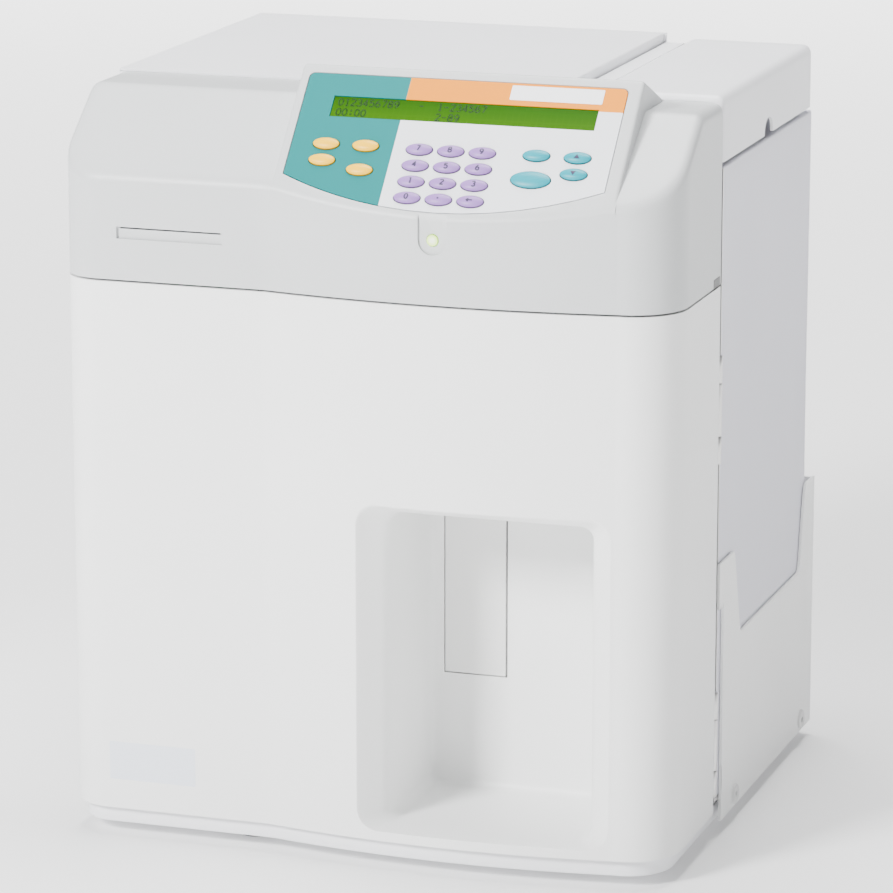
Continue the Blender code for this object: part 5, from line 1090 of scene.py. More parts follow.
class Nodes:
    """A short way to build one material's nodes: each call adds a node, sets its values and joins its inputs."""

    def __init__(self, name):
        self.material = bpy.data.materials.new(name)
        self.material.use_nodes = True
        self.tree = self.material.node_tree
        self.shader = self.tree.nodes["Principled BSDF"]

    def add(self, kind, inputs=None, **settings):
        node = self.tree.nodes.new(kind)
        for key, value in settings.items():
            setattr(node, key, value)
        for key, value in (inputs or {}).items():
            self.put(node.inputs[key], value)
        return node

    def put(self, socket, value):
        if isinstance(value, bpy.types.NodeSocket):
            self.tree.links.new(value, socket)
        else:
            socket.default_value = value

    def math(self, operation, first, second=0.0, clamp=False):
        return self.add("ShaderNodeMath", {0: first, 1: second}, operation=operation, use_clamp=clamp).outputs[0]

    def mix(self, factor, first, second):
        node = self.add("ShaderNodeMix", {"Factor": factor}, data_type="RGBA")
        self.put(node.inputs[6], first)
        self.put(node.inputs[7], second)
        return node.outputs[2]

    def place(self):
        return self.add("ShaderNodeTexCoord").outputs["Object"]

    def noise(self, scale, detail=3.0, rough=0.55):
        return self.add("ShaderNodeTexNoise", {"Vector": self.place(), "Scale": scale, "Detail": detail, "Roughness": rough}).outputs["Fac"]

    def within(self, value, low, high, soft):
        """One between low and high, zero outside, with soft edges."""
        up = self.add("ShaderNodeMapRange", {"Value": value, "From Min": low - soft, "From Max": low + soft}, interpolation_type="SMOOTHSTEP").outputs[0]
        down = self.add("ShaderNodeMapRange", {"Value": value, "From Min": high - soft, "From Max": high + soft}, interpolation_type="SMOOTHSTEP").outputs[0]
        return self.math("SUBTRACT", up, down)

    def set(self, **values):
        for key, value in values.items():
            self.put(self.shader.inputs[key.replace("_", " ")], value)


def tint(colour, factor):
    """A colour made lighter or darker."""
    return tuple(min(part * factor, 1.0) for part in colour[:3]) + (1.0,)


def shell_look(name, colour, roughness, grain, depth, mottle=0.02, metallic=0.0, sheen=0.0):
    """Moulded or coated surface: broad faint mottling in colour and roughness, and a fine grain as bump."""
    made = Nodes(name)
    broad = made.noise(9.0, 4.0)
    fine = made.noise(grain, 2.0, 0.5)
    cloud = made.add("ShaderNodeMapRange", {"Value": broad, "From Min": 0.3, "From Max": 0.7}).outputs[0]
    base = made.mix(cloud, tint(colour, 1 - mottle), tint(colour, 1 + mottle))
    speck = made.add("ShaderNodeMapRange", {"Value": fine, "From Min": 0.35, "From Max": 0.75, "To Min": roughness - 0.06, "To Max": roughness + 0.08}).outputs[0]
    bump = made.add("ShaderNodeBump", {"Height": fine, "Strength": 0.25, "Distance": depth}).outputs[0]
    made.set(Base_Color=base, Roughness=speck, Metallic=metallic, Normal=bump)
    made.set(Coat_Weight=sheen)
    return made


def colour_of(name):
    return tuple(getattr(colours(), name)) + (1.0,)


def steel_look():
    """Satin steel: noise stretched along the height gives brushed streaks in roughness and bump."""
    made = Nodes("sheet_steel")
    stretched = made.add("ShaderNodeMapping", {"Vector": made.place(), "Scale": (900.0, 900.0, 25.0)}).outputs[0]
    streaks = made.add("ShaderNodeTexNoise", {"Vector": stretched, "Scale": 1.0, "Detail": 3.0}).outputs["Fac"]
    cloud = made.noise(14.0)
    base = made.mix(cloud, tint(colour_of("steel"), 0.92), tint(colour_of("steel"), 1.05))
    rough = made.add("ShaderNodeMapRange", {"Value": streaks, "To Min": 0.25, "To Max": 0.45}).outputs[0]
    bump = made.add("ShaderNodeBump", {"Height": streaks, "Strength": 0.2, "Distance": 0.00002}).outputs[0]
    made.set(Base_Color=base, Metallic=1.0, Roughness=rough, Normal=bump)
    return made.material


def hood_coordinates(made):
    """Sockets for the way across and the way up the hood, from Object coordinates."""
    foot, _, up, _ = hood_axes()
    parts = made.add("ShaderNodeSeparateXYZ", {"Vector": made.place()}).outputs
    across = made.math("SUBTRACT", parts[0], float(foot[0]))
    deep = made.math("MULTIPLY", made.math("SUBTRACT", parts[1], float(foot[1])), float(up[1]))
    high = made.math("MULTIPLY", made.math("SUBTRACT", parts[2], float(foot[2])), float(up[2]))
    return across, made.math("ADD", deep, high)


def panel_look():
    """The panel's print: a teal field, an orange band along the top and light grey elsewhere, on fine film grain."""
    s = sizes()
    made = Nodes("panel_print")
    across, up = hood_coordinates(made)
    fine = made.noise(2600.0, 2.0)
    waver = made.math("MULTIPLY", made.math("SUBTRACT", made.noise(1500.0), 0.5), 0.0001)
    teal = made.within(made.math("ADD", across, waver), -1.0, s.teal_right, 0.00012)
    high = made.within(up, s.band_bottom, 1.0, 0.00012)
    band = made.math("MULTIPLY", high, made.within(across, s.teal_right, 1.0, 0.00012))
    ground = made.mix(fine, tint(colour_of("panel_grey"), 0.98), tint(colour_of("panel_grey"), 1.02))
    with_band = made.mix(band, ground, made.mix(fine, tint(colour_of("orange"), 0.97), tint(colour_of("orange"), 1.03)))
    base = made.mix(teal, with_band, made.mix(fine, tint(colour_of("teal"), 0.95), tint(colour_of("teal"), 1.05)))
    bump = made.add("ShaderNodeBump", {"Height": fine, "Strength": 0.2, "Distance": 0.00002}).outputs[0]
    made.set(Base_Color=base, Roughness=0.42, Normal=bump, Specular_IOR_Level=0.25)
    return made.material


def display_look():
    """The lit display: green, darker towards its top edge, with a faint grid of character cells."""
    s = sizes()
    made = Nodes("display_green")
    across, up = hood_coordinates(made)
    rise = made.add("ShaderNodeMapRange", {"Value": up, "From Min": s.lcd_bottom, "From Max": s.lcd_top}).outputs[0]
    base = made.mix(rise, colour_of("lcd_low"), colour_of("lcd_high"))
    column = made.math("FRACT", made.math("DIVIDE", across, s.character_pitch))
    row = made.math("FRACT", made.math("DIVIDE", up, s.cell_height))
    cell = made.math("MULTIPLY", made.within(column, 0.1, 0.9, 0.05), made.within(row, 0.1, 0.9, 0.05))
    base = made.mix(made.math("MULTIPLY", cell, 0.10), base, tint(colour_of("lcd_high"), 0.6))
    cloud = made.mix(made.noise(60.0), base, tint(colour_of("lcd_low"), 1.1))
    shade = made.mix(0.15, base, cloud)
    made.set(Base_Color=shade, Roughness=0.22, Specular_IOR_Level=0.3, Emission_Color=shade, Emission_Strength=0.1)
    return made.material


def lamp_look():
    """The lamp: bright in the middle and green towards its rim, by distance from its own axis."""
    s = sizes()
    made = Nodes("lamp_lens")
    centre = np.array([s.lamp_x, -s.bulge, s.lamp_z]) + shift()
    parts = made.add("ShaderNodeSeparateXYZ", {"Vector": made.place()}).outputs
    aside = made.math("POWER", made.math("SUBTRACT", parts[0], float(centre[0])), 2.0)
    high = made.math("POWER", made.math("SUBTRACT", parts[2], float(centre[2])), 2.0)
    away = made.math("DIVIDE", made.math("SQRT", made.math("ADD", aside, high)), 0.0031)
    glow = made.math("MULTIPLY", away, made.math("ADD", 0.9, made.math("MULTIPLY", made.noise(900.0), 0.2)), True)
    base = made.mix(glow, colour_of("lamp_middle"), colour_of("lamp_rim"))
    made.set(Base_Color=base, Roughness=0.2, Emission_Color=base, Emission_Strength=0.7, Coat_Weight=0.5)
    return made.material


def card_look():
    """Coated card: faint vertical fibre in colour and bump."""
    made = Nodes("lavender_card")
    stretched = made.add("ShaderNodeMapping", {"Vector": made.place(), "Scale": (120.0, 120.0, 25.0)}).outputs[0]
    fibre = made.add("ShaderNodeTexNoise", {"Vector": stretched, "Scale": 3.0, "Detail": 5.0}).outputs["Fac"]
    cloud = made.noise(6.0)
    base = made.mix(cloud, tint(colour_of("card"), 0.97), tint(colour_of("card"), 1.02))
    base = made.mix(made.math("MULTIPLY", fibre, 0.3), base, tint(colour_of("card"), 1.04))
    bump = made.add("ShaderNodeBump", {"Height": made.math("ADD", fibre, made.math("MULTIPLY", cloud, 4.0)), "Strength": 0.35, "Distance": 0.0003}).outputs[0]
    made.set(Base_Color=base, Roughness=0.5, Normal=bump)
    return made.material


def board_look():
    """Circuit board: green mask with a brick pattern of copper tracks and darker chips by a coarse cell pattern."""
    made = Nodes("circuit_board")
    tracks = made.add("ShaderNodeTexBrick", {"Vector": made.place(), "Scale": 160.0, "Mortar Size": 0.06, "Color1": (0, 0, 0, 1), "Color2": (0.2, 0.2, 0.2, 1), "Mortar": (1, 1, 1, 1)})
    cells = made.add("ShaderNodeTexVoronoi", {"Vector": made.place(), "Scale": 55.0})
    base = made.mix(tracks.outputs["Fac"], colour_of("board"), tint(colour_of("board"), 2.2))
    base = made.mix(made.within(cells.outputs["Distance"], -1.0, 0.25, 0.02), base, (0.04, 0.04, 0.04, 1))
    made.set(Base_Color=base, Roughness=0.4)
    return made.material


def clear_look():
    """Clear plastic: light grey with some transmission and faint flow lines."""
    made = Nodes("clear_plastic")
    lines_of_flow = made.noise(180.0, 5.0)
    base = made.mix(lines_of_flow, tint(colour_of("clear"), 0.95), tint(colour_of("clear"), 1.05))
    made.set(Base_Color=base, Roughness=0.12, Transmission_Weight=0.5, IOR=1.49)
    return made.material


def key_look(name, colour):
    """Key plastic: satin, with painted shade on the skirt round the dome, laid by the key's own skirt attribute."""
    made = Nodes(name)
    fine = made.noise(2200.0, 2.0)
    skirt = made.add("ShaderNodeAttribute", attribute_name="skirt").outputs["Fac"]
    top = made.mix(fine, tint(colour_of(colour), 0.96), tint(colour_of(colour), 1.04))
    # Painted shade: the skirt is darkened towards 12 % of the key's colour, standing for the shadow in the gap round
    # the key.
    base = made.mix(made.math("MULTIPLY", skirt, 0.85), top, tint(colour_of(colour), 0.12))
    bump = made.add("ShaderNodeBump", {"Height": fine, "Strength": 0.2, "Distance": 0.00003}).outputs[0]
    made.set(Base_Color=base, Roughness=0.38, Normal=bump, Specular_IOR_Level=0.3)
    return made.material


def floor_look():
    """Studio floor: pale and matt, glowing a little more with its distance from the object so that it stays pale."""
    made = shell_look("floor", colour_of("floor"), 0.65, 500.0, 0.00001, mottle=0.004)
    away = made.add("ShaderNodeVectorMath", {0: made.place()}, operation="LENGTH").outputs["Value"]
    glow = made.add("ShaderNodeMapRange", {"Value": away, "From Min": 0.5, "From Max": 3.5, "To Min": 0.2, "To Max": 3.8}).outputs[0]
    made.set(Emission_Color=colour_of("floor"), Emission_Strength=glow)
    return made.material


def shell(name, colour, roughness, grain, depth, **more):
    return lambda: shell_look(name, colour_of(colour), roughness, grain, depth, **more).material


LOOKS = {
    "white_shell": shell("white_shell", "white", 0.42, 1400.0, 0.00006),
    "plate_plastic": shell("plate_plastic", "plate", 0.45, 1400.0, 0.00005),
    "plug_plastic": shell("plug_plastic", "plug", 0.4, 1400.0, 0.00003),
    "label_film": shell("label_film", "label", 0.3, 2500.0, 0.00001, mottle=0.01),
    "panel_film": shell("panel_film", "panel_label", 0.3, 2500.0, 0.00001, mottle=0.01),
    "light_grey_shell": shell("light_grey_shell", "light_grey", 0.42, 1400.0, 0.00006),
    "lavender_paint": shell("lavender_paint", "lavender", 0.5, 1100.0, 0.00008),
    "sheet_steel": steel_look,
    "supply_case": shell("supply_case", "steel", 0.35, 700.0, 0.00003, metallic=1.0),
    "lavender_card": card_look,
    "panel_print": panel_look,
    "circuit_board": board_look,
    "display_green": display_look,
    "lamp_lens": lamp_look,
    "dark_plastic": shell("dark_plastic", "dark", 0.45, 1600.0, 0.00006, mottle=0.08),
    "clear_plastic": clear_look,
    "foot_rubber": shell("foot_rubber", "rubber", 0.75, 900.0, 0.0001, mottle=0.1),
    "number_key": lambda: key_look("number_key", "purple"),
    "start_key": lambda: key_look("start_key", "yellow"),
    "command_key": lambda: key_look("command_key", "cyan"),
    "mark_ink": shell("mark_ink", "ink", 0.5, 3000.0, 0.00001, mottle=0.1),
    "display_ink": shell("display_ink", "lcd_ink", 0.3, 3000.0, 0.00001, mottle=0.05),
    "floor": floor_look,
    "seam_grey": shell("seam_grey", "seam", 0.5, 1600.0, 0.00003),
}


def look(name):
    """A material by its name, built once and kept apart from the frame's own plain ones."""
    found = bpy.data.materials.get("look_" + name)
    if found:
        return found
    made = LOOKS[name]()
    made.name = "look_" + name
    return made


def dress_solids():
    """Give every CAD node that is still shown the material of its slot."""
    for row in frame["record"]["subparts"]:
        node = frame["nodes"][row["node"]]
        for slot in node.material_slots:
            slot.material = look(row["material_slot"])


def add_light(name, place, target, size, power, colour=(1.0, 1.0, 1.0)):
    """A square soft light that looks at a point."""
    lamp = bpy.data.lights.new(name, "AREA")
    lamp.size = size
    lamp.energy = power
    lamp.color = colour
    made = bpy.data.objects.new(name, lamp)
    bpy.context.scene.collection.objects.link(made)
    made.location = place
    made.rotation_euler = (Vector(target) - Vector(place)).to_track_quat("-Z", "Y").to_euler()


def make_floor():
    """A wide pale floor: one flat grid whose lines lie closer near the object."""
    share = np.linspace(-1, 1, 25)
    reach = 14 * share ** 3
    grid = np.stack(np.meshgrid(reach, reach, [0.0], indexing="ij"), axis=-1)[:, :, 0]
    floor = surface("studio_floor", [patch(grid)], closed=False)
    floor.data.materials.append(look("floor"))


def make_camera():
    """The camera at the photo's angle."""
    camera = bpy.data.cameras.new("photo_camera")
    camera.lens = 186.63
    camera.sensor_width = 36.0
    made = bpy.data.objects.new("photo_camera", camera)
    bpy.context.scene.collection.objects.link(made)
    turn, tilt, distance = math.radians(18.47), math.radians(13.7), 2.65288
    target = Vector((0.002455, -0.0135, 0.20544))
    way = Vector((math.sin(turn) * math.cos(tilt), -math.cos(turn) * math.cos(tilt), math.sin(tilt)))
    made.location = target + way * distance
    made.rotation_euler = (-way).to_track_quat("-Z", "Y").to_euler()
    bpy.context.scene.camera = made


def make_stage():
    """Floor, soft lights, surroundings and camera."""
    make_floor()
    make_camera()
    add_light("key_light", (-1.0, -2.1, 1.5), (0, 0, 0.2), 0.6, 132)
    add_light("front_light", (0.4, -2.2, 0.9), (0, 0, 0.2), 1.4, 5)
    add_light("side_light", (2.0, 0.2, 1.0), (0.1, 0, 0.2), 1.2, 0.5)
    add_light("top_light", (0.0, 0.3, 2.2), (0, 0.1, 0.4), 1.2, 88)
    world = bpy.data.worlds.new("studio")
    bpy.context.scene.world = world
    world.use_nodes = True
    ground = world.node_tree.nodes["Background"]
    ground.inputs["Color"].default_value = (0.95, 0.97, 1.0, 1.0)
    ground.inputs["Strength"].default_value = 0.14


class AnalyzerSizes(bpy.types.PropertyGroup):
    """Lengths in metres, counted from the left side, the flat front, the table and the crease line."""
    width: bpy.props.FloatProperty(name="Body width", description="Body width of the analyzer", default=0.353, unit="LENGTH", precision=5)
    body_rear: bpy.props.FloatProperty(name="Rear face", description="Rear face of the analyzer", default=0.32, unit="LENGTH", precision=5)
    cover_rear: bpy.props.FloatProperty(name="Covers' rear edge", description="Covers' rear edge of the analyzer", default=0.094, unit="LENGTH", precision=5)
    cover_wall: bpy.props.FloatProperty(name="Cover wall", description="Cover wall of the analyzer", default=0.003, unit="LENGTH", precision=5)
    bulge: bpy.props.FloatProperty(name="Bulge depth", description="Bulge depth of the analyzer", default=0.01, unit="LENGTH", precision=5)
    bulge_left: bpy.props.FloatProperty(name="Crease place", description="Crease place of the analyzer", default=0.122, unit="LENGTH", precision=5)
    bulge_middle: bpy.props.FloatProperty(name="Bulge middle", description="Bulge middle of the analyzer", default=0.227, unit="LENGTH", precision=5)
    crease_ease: bpy.props.FloatProperty(name="Crease softness", description="Crease softness of the analyzer", default=0.004, unit="LENGTH", precision=5)
    left_corner: bpy.props.FloatProperty(name="Left corner radius", description="Left corner radius of the analyzer", default=0.024, unit="LENGTH", precision=5)
    right_corner: bpy.props.FloatProperty(name="Right corner radius", description="Right corner radius of the analyzer", default=0.031, unit="LENGTH", precision=5)
    crease_height: bpy.props.FloatProperty(name="Crease height", description="Crease height of the analyzer", default=0.3794, unit="LENGTH", precision=5)
    strip_height: bpy.props.FloatProperty(name="Strip height", description="Strip height of the analyzer", default=0.421, unit="LENGTH", precision=5)
    strip_front: bpy.props.FloatProperty(name="Strip's front edge", description="Strip's front edge of the analyzer", default=0.054, unit="LENGTH", precision=5)
    hood_height: bpy.props.FloatProperty(name="Hood height", description="Hood height of the analyzer", default=0.4376, unit="LENGTH", precision=5)
    hood_left: bpy.props.FloatProperty(name="Hood's left side", description="Hood's left side of the analyzer", default=0.1265, unit="LENGTH", precision=5)
    hood_right: bpy.props.FloatProperty(name="Hood's right side", description="Hood's right side of the analyzer", default=0.3205, unit="LENGTH", precision=5)
    hood_edge: bpy.props.FloatProperty(name="Hood edge radius", description="Hood edge radius of the analyzer", default=0.0022, unit="LENGTH", precision=5)
    shoulder: bpy.props.FloatProperty(name="Front shoulder", description="Front shoulder of the analyzer", default=0.0045, unit="LENGTH", precision=5)
    hood_shoulder: bpy.props.FloatProperty(name="Shoulder under the panel", description="Shoulder under the panel of the analyzer", default=0.0024, unit="LENGTH", precision=5)
    side_shoulder: bpy.props.FloatProperty(name="Side shoulder", description="Side shoulder of the analyzer", default=0.007, unit="LENGTH", precision=5)
    panel_left: bpy.props.FloatProperty(name="Panel left", description="Panel left of the analyzer", default=0.132, unit="LENGTH", precision=5)
    panel_right: bpy.props.FloatProperty(name="Panel right", description="Panel right of the analyzer", default=0.3125, unit="LENGTH", precision=5)
    panel_top: bpy.props.FloatProperty(name="Panel top", description="Panel top of the analyzer", default=0.0735, unit="LENGTH", precision=5)
    panel_foot: bpy.props.FloatProperty(name="Panel sides' foot", description="Panel sides' foot of the analyzer", default=0.008, unit="LENGTH", precision=5)
    panel_sag: bpy.props.FloatProperty(name="Panel sag", description="Panel sag of the analyzer", default=0.019, unit="LENGTH", precision=5)
    panel_seat: bpy.props.FloatProperty(name="Panel seat depth", description="Panel seat depth of the analyzer", default=0.0018, unit="LENGTH", precision=5)
    panel_corner: bpy.props.FloatProperty(name="Panel corner", description="Panel corner of the analyzer", default=0.003, unit="LENGTH", precision=5)
    teal_right: bpy.props.FloatProperty(name="Teal field's right edge", description="Teal field's right edge of the analyzer", default=0.19, unit="LENGTH", precision=5)
    band_bottom: bpy.props.FloatProperty(name="Orange band's lower edge", description="Orange band's lower edge of the analyzer", default=0.0583, unit="LENGTH", precision=5)
    label_left: bpy.props.FloatProperty(name="Label place left", description="Label place left of the analyzer", default=0.248, unit="LENGTH", precision=5)
    label_right: bpy.props.FloatProperty(name="Label place right", description="Label place right of the analyzer", default=0.3, unit="LENGTH", precision=5)
    label_bottom: bpy.props.FloatProperty(name="Label place bottom", description="Label place bottom of the analyzer", default=0.0627, unit="LENGTH", precision=5)
    label_top: bpy.props.FloatProperty(name="Label place top", description="Label place top of the analyzer", default=0.072, unit="LENGTH", precision=5)
    number_left: bpy.props.FloatProperty(name="Number keys' first column", description="Number keys' first column of the analyzer", default=0.2049, unit="LENGTH", precision=5)
    number_step: bpy.props.FloatProperty(name="Number keys' spacing", description="Number keys' spacing of the analyzer", default=0.0178, unit="LENGTH", precision=5)
    number_top: bpy.props.FloatProperty(name="Number keys' first row", description="Number keys' first row of the analyzer", default=0.0278, unit="LENGTH", precision=5)
    number_drop: bpy.props.FloatProperty(name="Number keys' row spacing", description="Number keys' row spacing of the analyzer", default=0.01027, unit="LENGTH", precision=5)
    key_length: bpy.props.FloatProperty(name="Key length", description="Key length of the analyzer", default=0.015, unit="LENGTH", precision=5)
    key_height: bpy.props.FloatProperty(name="Key height", description="Key height of the analyzer", default=0.0072, unit="LENGTH", precision=5)
    enter_length: bpy.props.FloatProperty(name="Large key length", description="Large key length of the analyzer", default=0.0222, unit="LENGTH", precision=5)
    enter_height: bpy.props.FloatProperty(name="Large key height", description="Large key height of the analyzer", default=0.0104, unit="LENGTH", precision=5)
    start_left: bpy.props.FloatProperty(name="Start keys' left column", description="Start keys' left column of the analyzer", default=0.1517, unit="LENGTH", precision=5)
    start_right: bpy.props.FloatProperty(name="Start keys' right column", description="Start keys' right column of the analyzer", default=0.1743, unit="LENGTH", precision=5)
    command_left: bpy.props.FloatProperty(name="Command keys' left column", description="Command keys' left column of the analyzer", default=0.2707, unit="LENGTH", precision=5)
    command_right: bpy.props.FloatProperty(name="Command keys' right column", description="Command keys' right column of the analyzer", default=0.2936, unit="LENGTH", precision=5)
    upper_row: bpy.props.FloatProperty(name="Upper row", description="Upper row of the analyzer", default=0.0282, unit="LENGTH", precision=5)
    lower_row: bpy.props.FloatProperty(name="Lower row", description="Lower row of the analyzer", default=0.0177, unit="LENGTH", precision=5)
    bottom_row: bpy.props.FloatProperty(name="Bottom row", description="Bottom row of the analyzer", default=0.0128, unit="LENGTH", precision=5)
    key_proud: bpy.props.FloatProperty(name="Key rise", description="Key rise of the analyzer", default=0.0021, unit="LENGTH", precision=5)
    key_shoulder: bpy.props.FloatProperty(name="Key shoulder", description="Key shoulder of the analyzer", default=0.0006, unit="LENGTH", precision=5)
    key_root: bpy.props.FloatProperty(name="Key root", description="Key root of the analyzer", default=0.002, unit="LENGTH", precision=5)
    mark_height: bpy.props.FloatProperty(name="Digit height", description="Digit height of the analyzer", default=0.0032, unit="LENGTH", precision=5)
    mark_width: bpy.props.FloatProperty(name="Digit stroke", description="Digit stroke of the analyzer", default=0.00085, unit="LENGTH", precision=5)
    lcd_left: bpy.props.FloatProperty(name="Display left", description="Display left of the analyzer", default=0.149, unit="LENGTH", precision=5)
    lcd_right: bpy.props.FloatProperty(name="Display right", description="Display right of the analyzer", default=0.299, unit="LENGTH", precision=5)
    lcd_bottom: bpy.props.FloatProperty(name="Display bottom", description="Display bottom of the analyzer", default=0.046, unit="LENGTH", precision=5)
    lcd_top: bpy.props.FloatProperty(name="Display top", description="Display top of the analyzer", default=0.0595, unit="LENGTH", precision=5)
    lcd_sink: bpy.props.FloatProperty(name="Display sink", description="Display sink of the analyzer", default=0.0004, unit="LENGTH", precision=5)
    character_pitch: bpy.props.FloatProperty(name="Character pitch", description="Character pitch of the analyzer", default=0.00355, unit="LENGTH", precision=5)
    character_height: bpy.props.FloatProperty(name="Character height", description="Character height of the analyzer", default=0.0045, unit="LENGTH", precision=5)
    cell_height: bpy.props.FloatProperty(name="Cell height", description="Cell height of the analyzer", default=0.00615, unit="LENGTH", precision=5)
    seam_gap: bpy.props.FloatProperty(name="Seam gap", description="Seam gap of the analyzer", default=0.0006, unit="LENGTH", precision=5)
    screw_radius: bpy.props.FloatProperty(name="Screw head radius", description="Screw head radius of the analyzer", default=0.003, unit="LENGTH", precision=5)
    screw_rise: bpy.props.FloatProperty(name="Screw head rise", description="Screw head rise of the analyzer", default=0.0018, unit="LENGTH", precision=5)
    screw_edge: bpy.props.FloatProperty(name="Screw edge distance", description="Screw edge distance of the analyzer", default=0.007, unit="LENGTH", precision=5)
    seam_block_depth: bpy.props.FloatProperty(name="Seam block depth", description="Seam block depth of the analyzer", default=0.013, unit="LENGTH", precision=5)
    seam_block_height: bpy.props.FloatProperty(name="Seam block height", description="Seam block height of the analyzer", default=0.0055, unit="LENGTH", precision=5)
    slot_left: bpy.props.FloatProperty(name="Slot left", description="Slot left of the analyzer", default=0.036, unit="LENGTH", precision=5)
    slot_right: bpy.props.FloatProperty(name="Slot right", description="Slot right of the analyzer", default=0.098, unit="LENGTH", precision=5)
    slot_bottom: bpy.props.FloatProperty(name="Slot bottom", description="Slot bottom of the analyzer", default=0.3443, unit="LENGTH", precision=5)
    slot_top: bpy.props.FloatProperty(name="Slot top", description="Slot top of the analyzer", default=0.3509, unit="LENGTH", precision=5)
    lamp_x: bpy.props.FloatProperty(name="Lamp place", description="Lamp place of the analyzer", default=0.2216, unit="LENGTH", precision=5)
    lamp_z: bpy.props.FloatProperty(name="Lamp height", description="Lamp height of the analyzer", default=0.3564, unit="LENGTH", precision=5)
    pad_half: bpy.props.FloatProperty(name="Lamp place half width", description="Lamp place half width of the analyzer", default=0.008, unit="LENGTH", precision=5)
    recess_left: bpy.props.FloatProperty(name="Recess left", description="Recess left of the analyzer", default=0.177, unit="LENGTH", precision=5)
    recess_right: bpy.props.FloatProperty(name="Recess right", description="Recess right of the analyzer", default=0.32, unit="LENGTH", precision=5)
    recess_bottom: bpy.props.FloatProperty(name="Recess bottom", description="Recess bottom of the analyzer", default=0.0225, unit="LENGTH", precision=5)
    recess_top: bpy.props.FloatProperty(name="Recess top", description="Recess top of the analyzer", default=0.2075, unit="LENGTH", precision=5)
    recess_floor: bpy.props.FloatProperty(name="Recess floor", description="Recess floor of the analyzer", default=0.024, unit="LENGTH", precision=5)
    recess_rear: bpy.props.FloatProperty(name="Recess depth", description="Recess depth of the analyzer", default=0.08, unit="LENGTH", precision=5)
    recess_corner: bpy.props.FloatProperty(name="Recess corner", description="Recess corner of the analyzer", default=0.007, unit="LENGTH", precision=5)
    mouth_corner: bpy.props.FloatProperty(name="Recess mouth corner", description="Recess mouth corner of the analyzer", default=0.012, unit="LENGTH", precision=5)
    rear_fillet: bpy.props.FloatProperty(name="Recess rear fillet", description="Recess rear fillet of the analyzer", default=0.006, unit="LENGTH", precision=5)
    bevel: bpy.props.FloatProperty(name="Recess bevel", description="Recess bevel of the analyzer", default=0.0135, unit="LENGTH", precision=5)
    top_bevel: bpy.props.FloatProperty(name="Recess top bevel", description="Recess top bevel of the analyzer", default=0.007, unit="LENGTH", precision=5)
    lip: bpy.props.FloatProperty(name="Recess lip depth", description="Recess lip depth of the analyzer", default=0.008, unit="LENGTH", precision=5)
    plate_left: bpy.props.FloatProperty(name="Plate opening left", description="Plate opening left of the analyzer", default=0.1984, unit="LENGTH", precision=5)
    plate_right: bpy.props.FloatProperty(name="Plate opening right", description="Plate opening right of the analyzer", default=0.236, unit="LENGTH", precision=5)
    plate_bottom: bpy.props.FloatProperty(name="Plate opening bottom", description="Plate opening bottom of the analyzer", default=0.0899, unit="LENGTH", precision=5)
    plate_top: bpy.props.FloatProperty(name="Plate opening top", description="Plate opening top of the analyzer", default=0.1971, unit="LENGTH", precision=5)
    plate_thickness: bpy.props.FloatProperty(name="Plate thickness", description="Plate thickness of the analyzer", default=0.0024, unit="LENGTH", precision=5)
    plate_boss: bpy.props.FloatProperty(name="Plate boss radius", description="Plate boss radius of the analyzer", default=0.0026, unit="LENGTH", precision=5)
    plate_drop: bpy.props.FloatProperty(name="Plate boss drop", description="Plate boss drop of the analyzer", default=0.006, unit="LENGTH", precision=5)
    plate_bore: bpy.props.FloatProperty(name="Plate boss bore", description="Plate boss bore of the analyzer", default=0.0014, unit="LENGTH", precision=5)
    needle_x: bpy.props.FloatProperty(name="Needle place", description="Needle place of the analyzer", default=0.217, unit="LENGTH", precision=5)
    needle_y: bpy.props.FloatProperty(name="Needle depth", description="Needle depth of the analyzer", default=0.058, unit="LENGTH", precision=5)
    strip_level: bpy.props.FloatProperty(name="Hinge strip's top", description="Hinge strip's top of the analyzer", default=0.417, unit="LENGTH", precision=5)
    cap_round: bpy.props.FloatProperty(name="Cap shoulder", description="Cap shoulder of the analyzer", default=0.006, unit="LENGTH", precision=5)
    notch_y: bpy.props.FloatProperty(name="Finger notch place", description="Finger notch place of the analyzer", default=0.194, unit="LENGTH", precision=5)
    notch_radius: bpy.props.FloatProperty(name="Finger notch radius", description="Finger notch radius of the analyzer", default=0.0095, unit="LENGTH", precision=5)
    pocket_front: bpy.props.FloatProperty(name="Pocket front", description="Pocket front of the analyzer", default=0.099, unit="LENGTH", precision=5)
    pocket_rear: bpy.props.FloatProperty(name="Pocket rear", description="Pocket rear of the analyzer", default=0.314, unit="LENGTH", precision=5)
    pocket_bottom: bpy.props.FloatProperty(name="Pocket bottom", description="Pocket bottom of the analyzer", default=0.009, unit="LENGTH", precision=5)
    pocket_top: bpy.props.FloatProperty(name="Pocket ears' top", description="Pocket ears' top of the analyzer", default=0.161, unit="LENGTH", precision=5)
    pocket_step_height: bpy.props.FloatProperty(name="Pocket's front step", description="Pocket's front step of the analyzer", default=0.135, unit="LENGTH", precision=5)
    pocket_dip: bpy.props.FloatProperty(name="Pocket dip", description="Pocket dip of the analyzer", default=0.11, unit="LENGTH", precision=5)
    pocket_ear_front: bpy.props.FloatProperty(name="Front ear's rear edge", description="Front ear's rear edge of the analyzer", default=0.131, unit="LENGTH", precision=5)
    pocket_low_front: bpy.props.FloatProperty(name="Dip's front end", description="Dip's front end of the analyzer", default=0.145, unit="LENGTH", precision=5)
    pocket_low_rear: bpy.props.FloatProperty(name="Dip's rear end", description="Dip's rear end of the analyzer", default=0.281, unit="LENGTH", precision=5)
    pocket_ear_rear: bpy.props.FloatProperty(name="Rear ear's front edge", description="Rear ear's front edge of the analyzer", default=0.292, unit="LENGTH", precision=5)
    hinge_x: bpy.props.FloatProperty(name="Hinge line place", description="Hinge line place of the analyzer", default=0.351, unit="LENGTH", precision=5)
